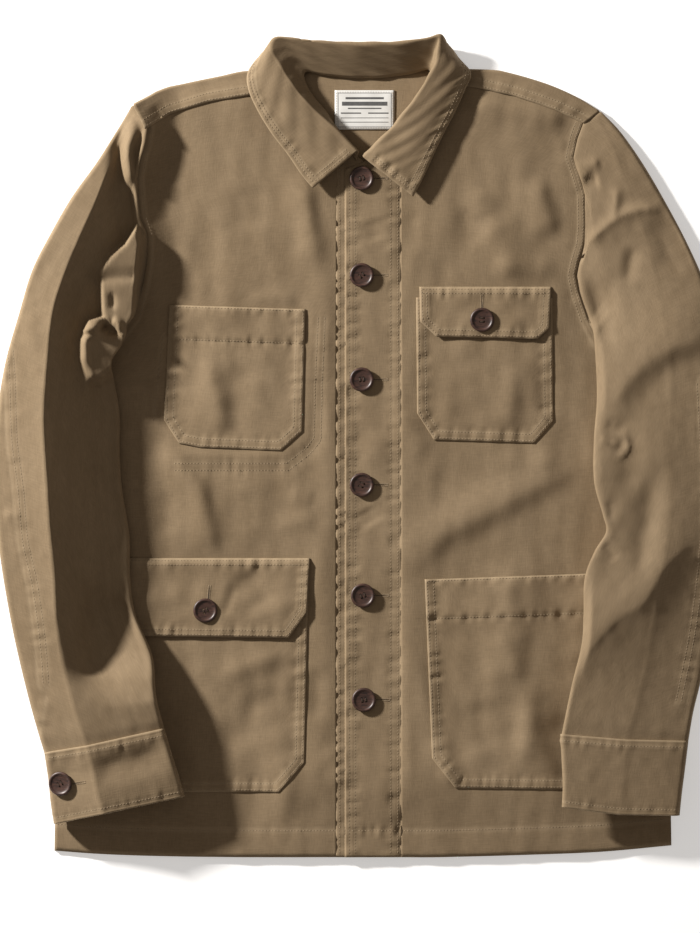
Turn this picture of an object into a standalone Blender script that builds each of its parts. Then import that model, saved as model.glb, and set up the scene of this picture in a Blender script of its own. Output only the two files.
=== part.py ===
"""A chore jacket of heavy cotton twill, buttoned and laid flat on its back.

X runs towards the wearer's left, Y from hem to collar and Z up from the floor. All sizes below are
in millimetres. Each cut-and-sewn piece is one sheet with its own thickness, and pieces that lie on
each other are a layer apart.
"""

import bmesh
import bpy
import numpy as np

MM = 0.001

# Cloth and seams.
CLOTH = 1.2
CUFF_CLOTH = 2.0
COLLAR_CLOTH = 1.8
LABEL_CLOTH = 1.0
AIR = 0.4
LAYER = CLOTH + AIR
SEAM = 0.5

# Body: outline of the back, which the two fronts share at side, armhole and hem.
HEM_Y = -386
ARMPIT_Y = 51
RIGHT_SIDE = [(-290, -380), (-288, -240), (-286, -100), (-285, ARMPIT_Y)]
LEFT_SIDE = [(290, -375), (288, -240), (287, -100), (286, ARMPIT_Y)]
RIGHT_ARMHOLE = [
    (-285, ARMPIT_Y), (-262, 57), (-240, 74), (-225, 95), (-215, 124), (-209, 152),
    (-205, 177), (-205, 199), (-211, 214), (-213, 232), (-214, 251), (-211, 268),
    (-206, 286), (-204, 300),
]
LEFT_ARMHOLE = [
    (286, ARMPIT_Y), (262, 57), (237, 74), (219, 95), (210, 121), (203, 145), (200, 161),
    (203, 174), (208, 190), (209.5, 208), (209, 238), (204, 255), (198, 272), (202, 290), (208, 306),
]
RIGHT_HEM = [(-290, -380), (-247, -383), (-191, -385), (-116, HEM_Y), (-24, HEM_Y)]
LEFT_HEM = [(35, HEM_Y), (72, HEM_Y), (148, -384), (223, -381), (290, -375)]
BACK_HEM = [(-290, -380), (-191, -385), (-60, HEM_Y), (72, HEM_Y), (200, -382), (290, -375)]
RIGHT_SHOULDER = [(-215, 319), (-202, 326), (-191, 332), (-172, 338), (-134, 346), (-108, 351), (-59, 352)]
LEFT_SHOULDER = [(69, 353), (119, 352), (138, 349), (166, 341), (185, 334), (204, 325), (222, 314)]
RIGHT_YOKE_SEAM = [(-204, 300), (-181, 315), (-145, 326), (-103, 333), (-59, 339)]
LEFT_YOKE_SEAM = [(69, 345), (105, 340), (142, 332), (180, 319), (208, 306)]
BACK_NECK = [(-59, 352), (-40, 348), (2, 345), (44, 349), (69, 353)]

SHOULDER_PARTS = 4
SHOULDER_TURN = (50, 90, 130, 180)
BACK_STEP = 70
FRONT_STEP = 45
FRONT_COLUMNS = 11
BAND_ROWS = 16
PATCH_COLUMNS = 8
PATCH_ROWS = 7

# Air between the back and the fronts: shut at the side seams and opening inside the ease line.
ARMHOLE_AIR = 1.2
BODY_AIR = 2.0
SIDE_EASE = 60
EASE_LINE_Y = (-60, 150)
EASE_LINE_X = (288, 206)

# Front bands and neckline.
RIGHT_BAND_X = (-23.5, 20)
LEFT_BAND_X = (-17, 34.5)
RIGHT_NECK = [(-24, 297), (-32, 308), (-41, 319), (-50, 329), (-59, 339)]
LEFT_NECK = [(35, 295), (45, 305), (54, 316), (63, 330), (69, 345)]
RIGHT_BAND_TOP = [(-23.5, 296.5), (-16, 287), (-8, 276), (4, 266), (20, 260)]
LEFT_BAND_TOP = [(-17, 261), (-5, 265), (8, 272), (22, 282), (34.5, 294.5)]

# Broad soft folds: ends of each fold line, half width, and height (below zero for a trough).
BODY_FOLDS = [
    # x0, y0, x1, y1, half width, height
    (-150, 250, -120, 160, 38, 1.2),
    (218, 10, 168, -22, 34, -1.3),
    (-120, -130, -132, -160, 34, -1.0),
    (110, -40, 150, -90, 40, 1.3),
    (-90, -20, -160, -70, 40, 1.2),
]

# Sleeves, one row for each cross-section from armhole to cuff: outer edge, ridge and inner edge in
# plan, height of the ridge, and how far the underside is held off what lies below it.
RIGHT_SLEEVE = [
    # outer x, y, ridge x, y, inner x, y, ridge height, lift
    (-216, 320, -212, 313.8, -205, 199, 8, 0),
    (-230, 297, -227, 290, -208, 177, 17, 0),
    (-249, 266, -239, 260, -211, 152, 27, 0),
    (-272, 233, -251, 228, -217, 121, 37, 0),
    (-292, 198, -266, 194, -227, 95, 43, 0),
    (-309, 164, -279, 162, -236, 79, 46, 0),
    (-321, 124, -290, 126, -233, 55, 48, 0),
    (-334, 77, -295, 79, -229, 30, 49, 0),
    (-342, 25, -298, 25, -229, -3, 49, 0),
    (-344, -27, -295, -30, -227, -38, 49, 0),
    (-342, -74, -292, -78, -220, -83, 48, 0),
    (-337, -116, -288, -121, -219, -124, 46, 0),
    (-329, -163, -286, -163, -214, -158, 44, 0),
    (-321, -201, -281, -199, -198, -196, 41, 0),
    (-310, -245, -270, -243, -194, -234, 37, 0),
    (-297, -290, -257, -283, -186, -267, 34, 0),
]
LEFT_SLEEVE = [
    (223, 315, 219, 312.3, 208.8, 199, 8, 0),
    (242, 295, 234, 284, 209, 181, 15, 0),
    (263, 265, 246, 250, 205, 166, 21, 0),
    (284, 229, 258, 218, 207, 142, 27, 0),
    (304, 191, 270, 180, 216, 114, 31, 0),
    (321, 152, 279, 138, 219, 81, 34, 0),
    (333, 110, 287, 91, 220, 44, 36, 0),
    (340, 63, 289, 44, 217, 6, 37, 0),
    (343, 16, 287, -3, 217, -33, 37, 0),
    (343, -31, 287, -50, 225, -64, 37, 0),
    (340, -74, 286, -79, 228, -80, 36, 0),
    (336, -111, 281, -109, 217, -99, 35, 0),
    (330, -149, 275, -144, 208, -124, 34, 0),
    (323, -187, 270, -177, 207, -158, 33, 0),
    (316, -221, 265, -205, 205, -187, 32, 2),
    (309, -250, 257, -238, 196, -224, 31, 4),
    (304, -280, 246, -278, 186, -273, 30, 6),
]
RIGHT_CUFF = [
    (-297, -291, -257, -284, -186, -268, 34, 0),
    (-294, -312, -252, -304, -179, -291, 33.5, 0),
    (-292, -333, -248, -325, -173, -310, 33, 0),
    (-289, -354, -243, -344, -168, -328, 32, 0),
]
LEFT_CUFF = [
    (304, -281, 246, -279, 186, -274, 30, 6),
    (301, -303, 245, -301, 187, -295, 30, 8),
    (298, -326, 243, -323, 188, -318, 30, 10),
    (296, -346, 240, -345, 187, -338, 29, 12),
]
SLEEVE_FOLDS = [
    # x0, y0, x1, y1, half width, height
    (-212, 200, -232, 172, 13, 6),
    (-240, 158, -210, 157, 7, -4),
    (-222, 140, -224, 108, 12, 5),
    (-262, 55, -264, 92, 7, 4),
    (222, 206, 240, 228, 8, 4),
    (228, 198, 262, 220, 8, -4),
    (312, 94, 272, 76, 11, -7),
    (272, 76, 256, 58, 11, -4),
    (256, 58, 240, 26, 10, -4),
    (300, 125, 262, 108, 16, 5),
    (275, -12, 262, -105, 14, -5),
    (305, -100, 232, -178, 18, 6),
    (290, -60, 245, -20, 16, 4),
]
EDGE_ROLL = 3.5
OUTER_ROUND = 1.35
INNER_ROUND = 1.4
SHOULDER_RISE = 0.06
SHOULDER_ROUND = 0.6
FOLDS_FROM_EDGE = 0.2
CUFF_ROLL_STRIP = 0.04
ARMHOLE_SEAM = 1.0
UNDER_INSET = 4.2
REST_AIR = 1.0
FLOOR_AIR = 0.1
POCKET_MARGIN = 10
POCKET_EASE = 30
BODY_MARGIN = 14
BODY_RAMP = 18
LOOSE_FROM_Y = 120
LOOSE_EASE = 14
OUTER_STRIP = (0, 0.03, 0.08, 0.18, 0.36, 0.57, 0.78)
INNER_STRIP = (0, 0.11, 0.23, 0.36, 0.49, 0.62, 0.75, 0.86, 0.935, 0.975, 1)
UNDER_OUTER_STRIP = (0, 0.33, 0.67)
UNDER_INNER_STRIP = (0, 0.14, 0.28, 0.43, 0.58, 0.72, 0.86, 1)
ARMHOLE_ROWS = (0, 0.007, 0.02)
SLEEVE_ROWS = 24
FROM_ARMHOLE = 0.045
CUFF_ROWS = 6
ARMHOLE_BLEND = 0.24

# Patch pockets and flaps. Left and right edges run upwards, bottom and top run towards +X.
CHEST_POCKET_RIGHT = {
    "bottom": [(-187, 25), (-173, 3), (-153, -1), (-77, -4), (-57, 14)],
    "top": [(-182, 133), (-54, 129)],
}
CHEST_POCKET_LEFT = {
    "bottom": [(51, 31), (67, 6), (161, 3), (179, 24)],
    "top": [(50, 140), (178, 140)],
}
CHEST_FLAP_LEFT = {
    "bottom": [(54, 117), (69, 103), (164, 101), (175, 111)],
    "top": [(53, 150), (177, 150)],
}
LOWER_POCKET_RIGHT = {
    "bottom": [(-241, -298), (-215, -325), (-79, -325), (-55, -297)],
    "top": [(-243, -116), (-51, -116)],
}
LOWER_FLAP_RIGHT = {
    "bottom": [(-243, -156), (-225, -178), (-70, -180), (-53, -156)],
    "top": [(-244, -105), (-50, -105)],
}
LOWER_POCKET_LEFT = {
    "bottom": [(65, -293), (87, -321), (228, -323), (252, -295)],
    "top": [(58, -125), (253, -118)],
}
FLAP_STEP = 6

# Collar, one row for each cross-section from the wearer's right front to the left front.
COLLAR = [
    # seam x, y, z, fold x, y, z, edge x, y, z
    (-6, 269, 5.8, -5, 277, 11, -47, 243, 7.6),
    (-13, 281, 5.8, -15, 287, 13, -58, 256, 7.8),
    (-23, 297, 5.8, -28, 300, 15, -71, 275, 8),
    (-33, 311, 5.8, -42, 312, 16, -85, 293, 8.4),
    (-43, 324, 5.8, -55, 325, 17, -98, 314, 8.6),
    (-51, 335, 5.8, -69, 343, 18, -107, 334, 8.6),
    (-55, 345, 6, -80, 361, 19, -108, 350, 8),
    (-55, 351, 6, -86, 373, 20, -99, 364, 4.5),
    (-51, 352.5, 5, -82, 383, 21, -88, 371, 2),
    (-42, 350.5, 3.2, -66, 382.5, 21, -68, 362, 1.4),
    (-26, 348, 2.8, -36, 379.5, 21, -38, 356, 1.4),
    (2, 346.5, 2.8, 5, 378.5, 21, 5, 353.5, 1.4),
    (32, 348.5, 2.8, 38, 379.5, 21, 38, 357, 1.4),
    (50, 352, 3.2, 60, 383, 21, 64, 365, 1.4),
    (60, 354, 5, 72, 385, 21, 80, 374, 2),
    (64, 352, 6, 72, 375, 21, 91, 363, 5),
    (66, 345, 6, 69, 361, 21, 101, 350, 9.5),
    (62, 333, 6, 61, 345, 20, 95, 334, 11.5),
    (54, 319, 6, 50, 328, 19, 86, 314, 12),
    (43, 305, 6.4, 37, 311, 17, 76, 295, 12),
    (30, 291, 7.4, 23, 295, 15, 66, 274, 12),
    (17, 280, 7.8, 9, 281, 13.5, 56, 252, 12),
    (6, 273, 7.8, 0, 273, 12, 47, 235, 11.5),
]
COLLAR_ROWS = 30
FOLD_STEPS = 5
STAND_STRIP = (0, 0.35, 0.7)
FALL_STRIP = (0.15, 0.35, 0.55, 0.75, 0.9, 1)
FOLD_RADIUS = 2.4
FALL_BOW = 1.6
ON_FRONT = 3

# Label, sewn on the inside of the back.
LABEL_X = (-25.5, 29)
LABEL_Y = (298.5, 334.5)

# Buttons.
BUTTON_STEPS = 14
BUTTON_SLOPE_STEP = 4
BUTTON_PROFILE = [
    # radius, height
    (0, 0), (9.4, 0), (11.3, 1.1), (11.3, 2.3), (10.2, 3.4), (8.7, 3.3), (7.6, 2.4), (0, 2.3),
]
FRONT_BUTTONS = [(-1, 252), (-1, 161), (-1, 63), (-1, -36), (0, -140), (1, -238)]
CHEST_BUTTON = (112, 119)
LOWER_BUTTON = (-148, -154)
CUFF_BUTTON_ROW = 0.42
CUFF_SLOPE_STEP = 0.1
CUFF_BUTTON_COLUMN = 3
HIDDEN_CUFF_BUTTON = (262, -318)


def material(name, colour, roughness):
    """A plain coloured finish."""
    made = bpy.data.materials.new(name)
    made.use_nodes = True
    shader = made.node_tree.nodes["Principled BSDF"]
    shader.inputs["Base Color"].default_value = (*colour, 1)
    shader.inputs["Roughness"].default_value = roughness
    shader.inputs["Metallic"].default_value = 0
    return made


def smooth(t):
    """Ease from 0 to 1 while t runs from 0 to 1."""
    t = np.clip(t, 0, 1)
    return t * t * (3 - 2 * t)


def between(rows, at):
    """Smooth values between the rows of a table, read at these row numbers."""
    rows = np.asarray(rows, float)
    slope = np.gradient(rows, axis=0)
    first = np.clip(np.floor(at).astype(int), 0, len(rows) - 2)
    t = (at - first)[:, None]
    start = (2 * t**3 - 3 * t**2 + 1) * rows[first] + (t**3 - 2 * t**2 + t) * slope[first]
    end = (3 * t**2 - 2 * t**3) * rows[first + 1] + (t**3 - t**2) * slope[first + 1]
    return start + end


def curve(points):
    """A smooth line through these points, as many short steps."""
    steps = 8 * (len(points) - 1)
    return between(points, np.linspace(0, len(points) - 1, steps + 1))


def along(line, fractions):
    """Points of a line at these fractions of its length."""
    line = np.asarray(line, float)
    lengths = np.linalg.norm(np.diff(line, axis=0), axis=1)
    reach = np.concatenate([[0], np.cumsum(lengths)])
    at = np.asarray(fractions) * reach[-1]
    return np.stack([np.interp(at, reach, line[:, axis]) for axis in range(2)], axis=1)


def stepped(line, longest):
    """The corners of a line, with its long stretches divided, as fractions of its length."""
    line = np.asarray(line, float)
    fractions = [np.zeros(1)]
    start = 0
    for length in np.linalg.norm(np.diff(line, axis=0), axis=1):
        parts = int(np.ceil(length / longest))
        fractions.append(start + length * np.arange(1, parts + 1) / parts)
        start += length
    return np.concatenate(fractions) / start


def corners_kept(line, count):
    """A line divided into this many steps, with a point on each of its corners."""
    line = np.asarray(line, float)
    lengths = np.linalg.norm(np.diff(line, axis=0), axis=1)
    parts = np.ones(len(lengths), int)
    while parts.sum() < count:
        parts[(lengths / parts).argmax()] += 1
    steps = [a + (b - a) * np.arange(n)[:, None] / n for a, b, n in zip(line, line[1:], parts)]
    return np.concatenate([*steps, line[-1:]])


def patch(bottom, top, left, right):
    """Rows of plan points inside four edges; bottom and top run one way, left and right upwards."""
    bottom, top, left, right = (np.asarray(edge, float) for edge in (bottom, top, left, right))
    u = np.linspace(0, 1, len(bottom))[None, :, None]
    v = np.linspace(0, 1, len(left))[:, None, None]
    across = (1 - u) * left[:, None] + u * right[:, None]
    upwards = (1 - v) * bottom[None] + v * top[None]
    ends = (1 - u) * (1 - v) * bottom[0] + u * (1 - v) * bottom[-1] + (1 - u) * v * top[0] + u * v * top[-1]
    return across + upwards - ends


def cloth(name, points, thickness, finish, ring=False, drop=None):
    """A sheet through rows of points in its middle surface, given its thickness on both sides."""
    rows, columns = points.shape[:2]
    mesh = bmesh.new()
    bmesh.ops.create_grid(mesh, x_segments=columns - 1, y_segments=rows - 1, size=0.5)
    unwanted = []
    if drop is not None:
        for face in mesh.faces:
            middle = face.calc_center_median()
            row = int((middle.y + 0.5) * (rows - 1))
            column = int((middle.x + 0.5) * (columns - 1))
            if drop(row, column):
                unwanted.append(face)
    for vertex in mesh.verts:
        row = round((vertex.co.y + 0.5) * (rows - 1))
        column = round((vertex.co.x + 0.5) * (columns - 1))
        vertex.co = points[row, column] * MM
    bmesh.ops.delete(mesh, geom=unwanted, context="FACES")
    if ring:
        bmesh.ops.remove_doubles(mesh, verts=mesh.verts, dist=1e-6)
    return solid(name, mesh, finish, thickness)


def solid(name, mesh, finish, thickness=0):
    """An object made from a finished bmesh."""
    data = bpy.data.meshes.new(name)
    mesh.to_mesh(data)
    mesh.free()
    data.materials.append(finish)
    data.shade_smooth()
    made = bpy.data.objects.new(name, data)
    bpy.context.scene.collection.objects.link(made)
    if thickness:
        wall = made.modifiers.new("Wall", "SOLIDIFY")
        wall.thickness = thickness * MM
        wall.offset = 0
        wall.use_even_offset = True
    return made


def raised(plan, height):
    """Plan points lifted to their heights."""
    return np.concatenate([plan, height[..., None]], axis=-1)


RIGHT_EDGE = np.array(RIGHT_SIDE + RIGHT_ARMHOLE[1:], float)
LEFT_EDGE = np.array(LEFT_SIDE + LEFT_ARMHOLE[1:], float)


def edge_x(edge, y):
    """Where side seam and armhole run at this height up the body."""
    return np.interp(y, edge[:, 1], edge[:, 0])


def fold_heights(x, y, folds):
    """Sum of soft ridges and troughs, each fading out past the ends of its line."""
    total = np.zeros_like(x, dtype=float)
    for x0, y0, x1, y1, half_width, height in folds:
        length = np.hypot(x1 - x0, y1 - y0)
        t = ((x - x0) * (x1 - x0) + (y - y0) * (y1 - y0)) / length**2
        t = np.clip(t, 0, 1)
        away = np.hypot(x - x0 - t * (x1 - x0), y - y0 - t * (y1 - y0))
        total += height * np.exp(-((away / half_width) ** 2))
    return total


def front_height(x, y, layer=0):
    """Middle of the front's cloth, or of a piece that lies this many layers above it."""
    inside = np.interp(y, EASE_LINE_Y, EASE_LINE_X) - np.abs(x)
    at_edge = ARMHOLE_AIR * smooth((y - ARMPIT_Y) / SIDE_EASE)
    away = smooth(inside / SIDE_EASE)
    air = at_edge + (BODY_AIR - at_edge) * away
    return LAYER + CLOTH / 2 + air + away * fold_heights(x, y, BODY_FOLDS) + layer * LAYER


def pocket_rise(x, y, pocket):
    """How much of a pocket's layer lies under this point, easing off around it."""
    corners = np.array(pocket["bottom"] + pocket["top"], float)
    low, high = corners.min(axis=0) - POCKET_MARGIN, corners.max(axis=0) + POCKET_MARGIN
    outside = np.maximum(np.maximum(low[0] - x, x - high[0]), np.maximum(low[1] - y, y - high[1]))
    return np.clip(1 - outside / POCKET_EASE, 0, 1)


def rest_height(x, y):
    """Top of what lies under a sleeve: the floor beside the body, or the fronts and their pockets."""
    outside = np.minimum(outside_edge(RIGHT_EDGE, -1, x, y), outside_edge(LEFT_EDGE, 1, x, y))
    on_body = np.clip(1 - (outside - BODY_MARGIN) / BODY_RAMP, 0, 1) * past_armhole(y)
    layers = sum(
        pocket_rise(x, y, pocket)
        for pocket in (LOWER_POCKET_RIGHT, LOWER_FLAP_RIGHT, LOWER_POCKET_LEFT)
    )
    return np.maximum(on_body * (front_height(x, y, layers) + CLOTH / 2 + REST_AIR), FLOOR_AIR)


def outside_edge(edge, side, x, y):
    """How far a point lies beyond one side seam and armhole, and far away on the other half."""
    beside = side * (x - edge_x(edge, y))
    bottom = edge[len(RIGHT_SIDE) - 1:][:6]
    under_arm = np.interp(-side * x, -side * bottom[:, 0], bottom[:, 1])
    corner = np.hypot(np.maximum(side * (x - bottom[0, 0]), 0), np.maximum(y - under_arm, 0))
    return np.where(side * x > 0, np.minimum(beside, corner), np.inf)


def past_armhole(y):
    """0 where a sleeve is still sewn to its armhole, 1 where it lies loose on the front."""
    return np.clip((LOOSE_FROM_Y - y) / LOOSE_EASE, 0, 1)


def make_back(finish):
    """The back: flat on the floor, wrapping over both shoulders to the yoke seams in front."""
    part = np.linspace(0, 1, SHOULDER_PARTS + 1)
    tops = [along(curve(line), part) for line in (RIGHT_SHOULDER, BACK_NECK, LEFT_SHOULDER)]
    top = np.concatenate([tops[0], tops[1][1:], tops[2][1:]])
    right = np.concatenate([RIGHT_EDGE, [RIGHT_SHOULDER[0]]])
    left = np.concatenate([LEFT_EDGE, [LEFT_SHOULDER[-1]]])
    rows = stepped(right, BACK_STEP)
    columns = np.linspace(0, 1, len(top))
    left_rows = stepped(left, BACK_STEP)
    plan = patch(along(curve(BACK_HEM), columns), top, along(right, rows), along(left, left_rows))
    flat = raised(plan, np.full(plan.shape[:2], CLOTH / 2))
    seam = np.concatenate([RIGHT_YOKE_SEAM, tops[1][1:-1], LEFT_YOKE_SEAM])
    seam[:, 1] += SEAM
    seam_height = front_height(seam[:, 0], seam[:, 1])
    radius = (seam_height - CLOTH / 2) / 2
    wrap = []
    for angle in np.radians(SHOULDER_TURN):
        step = top.copy()
        step[:, 1] += radius * np.sin(angle)
        wrap.append(raised(step, CLOTH / 2 + radius * (1 - np.cos(angle))))
    wrap.append(raised((top + seam) / 2, seam_height))
    wrap.append(raised(seam, seam_height))
    points = np.concatenate([flat, np.array(wrap)])
    return cloth(
        "back", points, CLOTH, finish,
        drop=lambda row, column: row >= len(flat) - 1 and SHOULDER_PARTS <= column < 2 * SHOULDER_PARTS,
    )


def make_front(name, hem, edge, neck, seam, mirrored, finish):
    """One front, from side seam and armhole to its band and neckline."""
    rows = stepped(edge, FRONT_STEP)
    columns = np.linspace(0, 1, FRONT_COLUMNS + 1)
    centre = np.concatenate([[hem[0] if mirrored else hem[-1]], curve(neck)])
    side = along(edge, rows)
    middle = along(centre, rows)
    left, right = (middle, side) if mirrored else (side, middle)
    plan = patch(along(curve(hem), columns), corners_kept(seam, FRONT_COLUMNS), left, right)
    return cloth(name, raised(plan, front_height(plan[..., 0], plan[..., 1])), CLOTH, finish)


def make_band(name, limits, top, layer, finish):
    """A straight facing band down the front edge."""
    columns = len(top)
    top = np.array(top, float)
    bottom = np.stack([top[:, 0], np.full(columns, HEM_Y)], axis=1)
    left = np.linspace(bottom[0], top[0], BAND_ROWS)
    right = np.linspace(bottom[-1], top[-1], BAND_ROWS)
    plan = patch(bottom, top, left, right)
    height = front_height(plan[..., 0], plan[..., 1], layer(plan[..., 0]))
    return cloth(name, raised(plan, height), CLOTH, finish)


def over_right_band(x):
    """The left band lies on the right one and comes down to its own front beyond it."""
    clear = RIGHT_BAND_X[1] + 1
    return 1 - smooth((x - clear) / (LEFT_BAND_X[1] - clear))


def make_patch(name, shape, layer, finish):
    """A pocket or flap with its corners cut off, a given number of layers above the front."""
    bottom = corners_kept(shape["bottom"], PATCH_COLUMNS)
    top = along(shape["top"], np.linspace(0, 1, PATCH_COLUMNS + 1))
    step = FLAP_STEP / (top[0, 1] - bottom[0, 1])
    upwards = np.append(np.linspace(0, 1 - step, PATCH_ROWS - 1), 1)
    left = along([bottom[0], top[0]], upwards)
    right = along([bottom[-1], top[-1]], upwards)
    plan = patch(bottom, top, left, right)
    from_top = plan[-1:, :, 1] - plan[..., 1]
    height = front_height(plan[..., 0], plan[..., 1], layer(from_top))
    return cloth(name, raised(plan, height), CLOTH, finish)


def sleeve_sections(table, rows):
    """Outer edge, ridge, inner edge, ridge height and lift at these fractions of a sleeve's length."""
    sections = between(table, np.asarray(rows) * (len(table) - 1))
    return sections[:, 0:2], sections[:, 2:4], sections[:, 4:6], sections[:, 6], sections[:, 7]


def sleeve_plan(table, rows, armhole=None, outer=OUTER_STRIP, inner=INNER_STRIP, inset=0):
    """Plan points across a sleeve, with the first rows drawn to its armhole."""
    edge, ridge, inside, _, _ = sleeve_sections(table, rows)
    edge = edge + inset * unit(ridge - edge)
    inside = inside + inset * past_armhole(inside[:, 1:] - 2 * LOOSE_EASE) * unit(ridge - inside)
    outer_part = edge[:, None] + (ridge - edge)[:, None] * np.array(outer)[None, :, None]
    inner = np.broadcast_to(inner, (len(edge), len(inner)))
    bulge = 0
    if armhole is not None:
        visible = armhole[(armhole[:, 1] > inside[0, 1]) & (armhole[:, 1] < ridge[0, 1])][::-1]
        seam = corners_kept([ridge[0], *visible, inside[0]], inner.shape[1] - 1)
        fade = np.clip(1 - np.asarray(rows) / ARMHOLE_BLEND, 0, 1)[:, None] ** 2
        share = (ridge[0, 1] - seam[:, 1]) / (ridge[0, 1] - inside[0, 1])
        inner = inner + fade * (share - inner)
        bulge = fade * (seam[:, 0] - ridge[0, 0] - (inside[0, 0] - ridge[0, 0]) * share)
    inner_part = ridge[:, None] + (inside - ridge)[:, None] * inner[..., None]
    inner_part[..., 0] += bulge
    plan = np.concatenate([outer_part, inner_part], axis=1)
    if armhole is not None:
        outwards = np.sign(edge[0, 0]) * ARMHOLE_SEAM
        plan[..., 0] += fade * outwards
        sewn_x = edge_x(armhole, plan[:, -1, 1]) + outwards
        plan[:, -1, 0] += (1 - past_armhole(plan[:, -1, 1])) * (sewn_x - plan[:, -1, 0])
    return plan


def unit(vectors):
    """Vectors of length one."""
    return vectors / np.linalg.norm(vectors, axis=-1, keepdims=True)


def rolled(distance, radius):
    """Rise of an edge rolled over to this radius."""
    inwards = np.clip(distance / radius, 0, 1)
    return radius * np.sqrt(1 - (1 - inwards) ** 2)


def sleeve_heights(table, rows, plan, thickness, roll):
    """Middle of the upper wall: rolled at both edges, and rising to the ridge between them."""
    edge, ridge, inside, top, lift = sleeve_sections(table, rows)
    foot = rest_height(plan[..., 0], plan[..., 1]) + thickness / 2 + lift[:, None]
    foot_outer = foot[:, :1]
    sewn = past_armhole(plan[:, -1:, 1]) < 1
    foot_inner = np.maximum(foot[:, -1:], sewn * front_height(plan[:, -1:, 0], plan[:, -1:, 1]))
    outer = np.array(OUTER_STRIP)[None, :]
    inner = np.array(INNER_STRIP)[None, :]
    outer_width = np.linalg.norm(ridge - edge, axis=1)[:, None]
    inner_width = np.linalg.norm(ridge - inside, axis=1)[:, None]
    outer_roll = np.minimum(roll, outer_width / 3)
    climb = top[:, None] - foot_outer - outer_roll
    outer_z = foot_outer + rolled(outer * outer_width, outer_roll) + climb * (1 - (1 - outer) ** OUTER_ROUND)
    fall = top[:, None] - foot_inner - roll
    inner_z = foot_inner + rolled((1 - inner) * inner_width, roll) + fall * (1 - inner) ** INNER_ROUND
    heights = np.concatenate([outer_z, inner_z], axis=1)
    across = np.concatenate([outer[0], 1 - inner[0]])[None, :]
    return heights + smooth(across / FOLDS_FROM_EDGE) * fold_heights(plan[..., 0], plan[..., 1], SLEEVE_FOLDS)


def make_sleeve(side, table, armhole, finish):
    """The upper and the under half of one sleeve, which meet at its outer and inner edges."""
    rows = np.append(ARMHOLE_ROWS, np.linspace(FROM_ARMHOLE, 1, SLEEVE_ROWS))
    plan = sleeve_plan(table, rows, armhole)
    heights = sleeve_heights(table, rows, plan, CLOTH, EDGE_ROLL)
    seam_height = front_height(plan[:, -1:, 0], plan[:, -1:, 1])[0, 0]
    ease = np.clip(rows / SHOULDER_RISE, 0, 1)[:, None] ** SHOULDER_ROUND
    heights = seam_height + (heights - seam_height) * ease
    cloth(f"sleeve_{side}_upper", raised(plan, heights), CLOTH, finish)
    under = sleeve_plan(table, rows, armhole, UNDER_OUTER_STRIP, UNDER_INNER_STRIP, UNDER_INSET)
    lift = sleeve_sections(table, rows)[4]
    floor = rest_height(under[..., 0], under[..., 1]) + CLOTH / 2 + lift[:, None]
    cloth(f"sleeve_{side}_under", raised(under, floor), CLOTH, finish)


def cuff_points(table, rows):
    """A cuff as a closed ring: the upper wall outwards to inwards, then back along the underside."""
    plan = sleeve_plan(table, rows)
    upper = sleeve_heights(table, rows, plan, CUFF_CLOTH, EDGE_ROLL) + EDGE_ROLL * edge_share(plan)
    lift = sleeve_sections(table, rows)[4]
    outer_strip = (0, CUFF_ROLL_STRIP) + UNDER_OUTER_STRIP[1:]
    inner_strip = UNDER_INNER_STRIP[:-1] + (1 - CUFF_ROLL_STRIP, 1)
    under = sleeve_plan(table, rows, outer=outer_strip, inner=inner_strip)[:, ::-1]
    floor = rest_height(under[..., 0], under[..., 1]) + CUFF_CLOTH / 2 + lift[:, None]
    floor[:, [0, -1]] += EDGE_ROLL
    return np.concatenate([raised(plan, upper), raised(under, floor)[:, 1:]], axis=1)


def edge_share(plan):
    """1 at both edges of a section, 0 at its ridge."""
    across = np.concatenate([np.array(OUTER_STRIP), 1 - np.array(INNER_STRIP)])
    return np.broadcast_to(1 - smooth(across), plan.shape[:2])


def make_cuff(side, table, finish):
    """A buttoned cuff."""
    points = cuff_points(table, np.linspace(0, 1, CUFF_ROWS))
    points[:, -1] = points[:, 0]
    return cloth(f"cuff_{side}", points, CUFF_CLOTH, finish, ring=True)


def collar_points(rows):
    """The collar's middle surface: stand, rolled fold and fall, one row for each cross-section."""
    sections = between(COLLAR, np.linspace(0, len(COLLAR) - 1, rows))
    seam, fold, edge = sections[:, 0:3], sections[:, 3:6], sections[:, 6:9]
    to_seam = unit(seam - fold)
    to_edge = unit(edge - fold)
    inwards = unit(to_seam + to_edge)
    sideways = unit(to_seam - inwards * (to_seam * inwards).sum(axis=1, keepdims=True))
    half_angle = np.arccos(np.clip((to_seam * inwards).sum(axis=1), -1, 1))
    centre = fold + FOLD_RADIUS * inwards
    turned = []
    for share in np.linspace(1, -1, FOLD_STEPS):
        angle = (share * (np.pi / 2 - half_angle))[:, None]
        turned.append(centre + FOLD_RADIUS * (np.sin(angle) * sideways - np.cos(angle) * inwards))
    stand = [seam + (turned[0] - seam) * t for t in STAND_STRIP]
    fall = []
    for t in FALL_STRIP:
        step = turned[-1] + (edge - turned[-1]) * t
        step[:, 2] += FALL_BOW * np.sin(np.pi * t) * np.sign(edge[:, 2] - ON_FRONT)
        fall.append(step)
    return np.stack(stand + turned + fall, axis=1)


def button_mesh():
    """A turned button with a raised rim and a dished middle."""
    mesh = bmesh.new()
    vertices = [mesh.verts.new((radius * MM, 0, height * MM)) for radius, height in BUTTON_PROFILE]
    edges = [mesh.edges.new(pair) for pair in zip(vertices, vertices[1:])]
    bmesh.ops.spin(
        mesh, geom=vertices + edges, axis=(0, 0, 1), cent=(0, 0, 0), angle=2 * np.pi,
        steps=BUTTON_STEPS, use_merge=True,
    )
    bmesh.ops.remove_doubles(mesh, verts=mesh.verts, dist=1e-6)
    bmesh.ops.recalc_face_normals(mesh, faces=mesh.faces)
    return mesh


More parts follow.
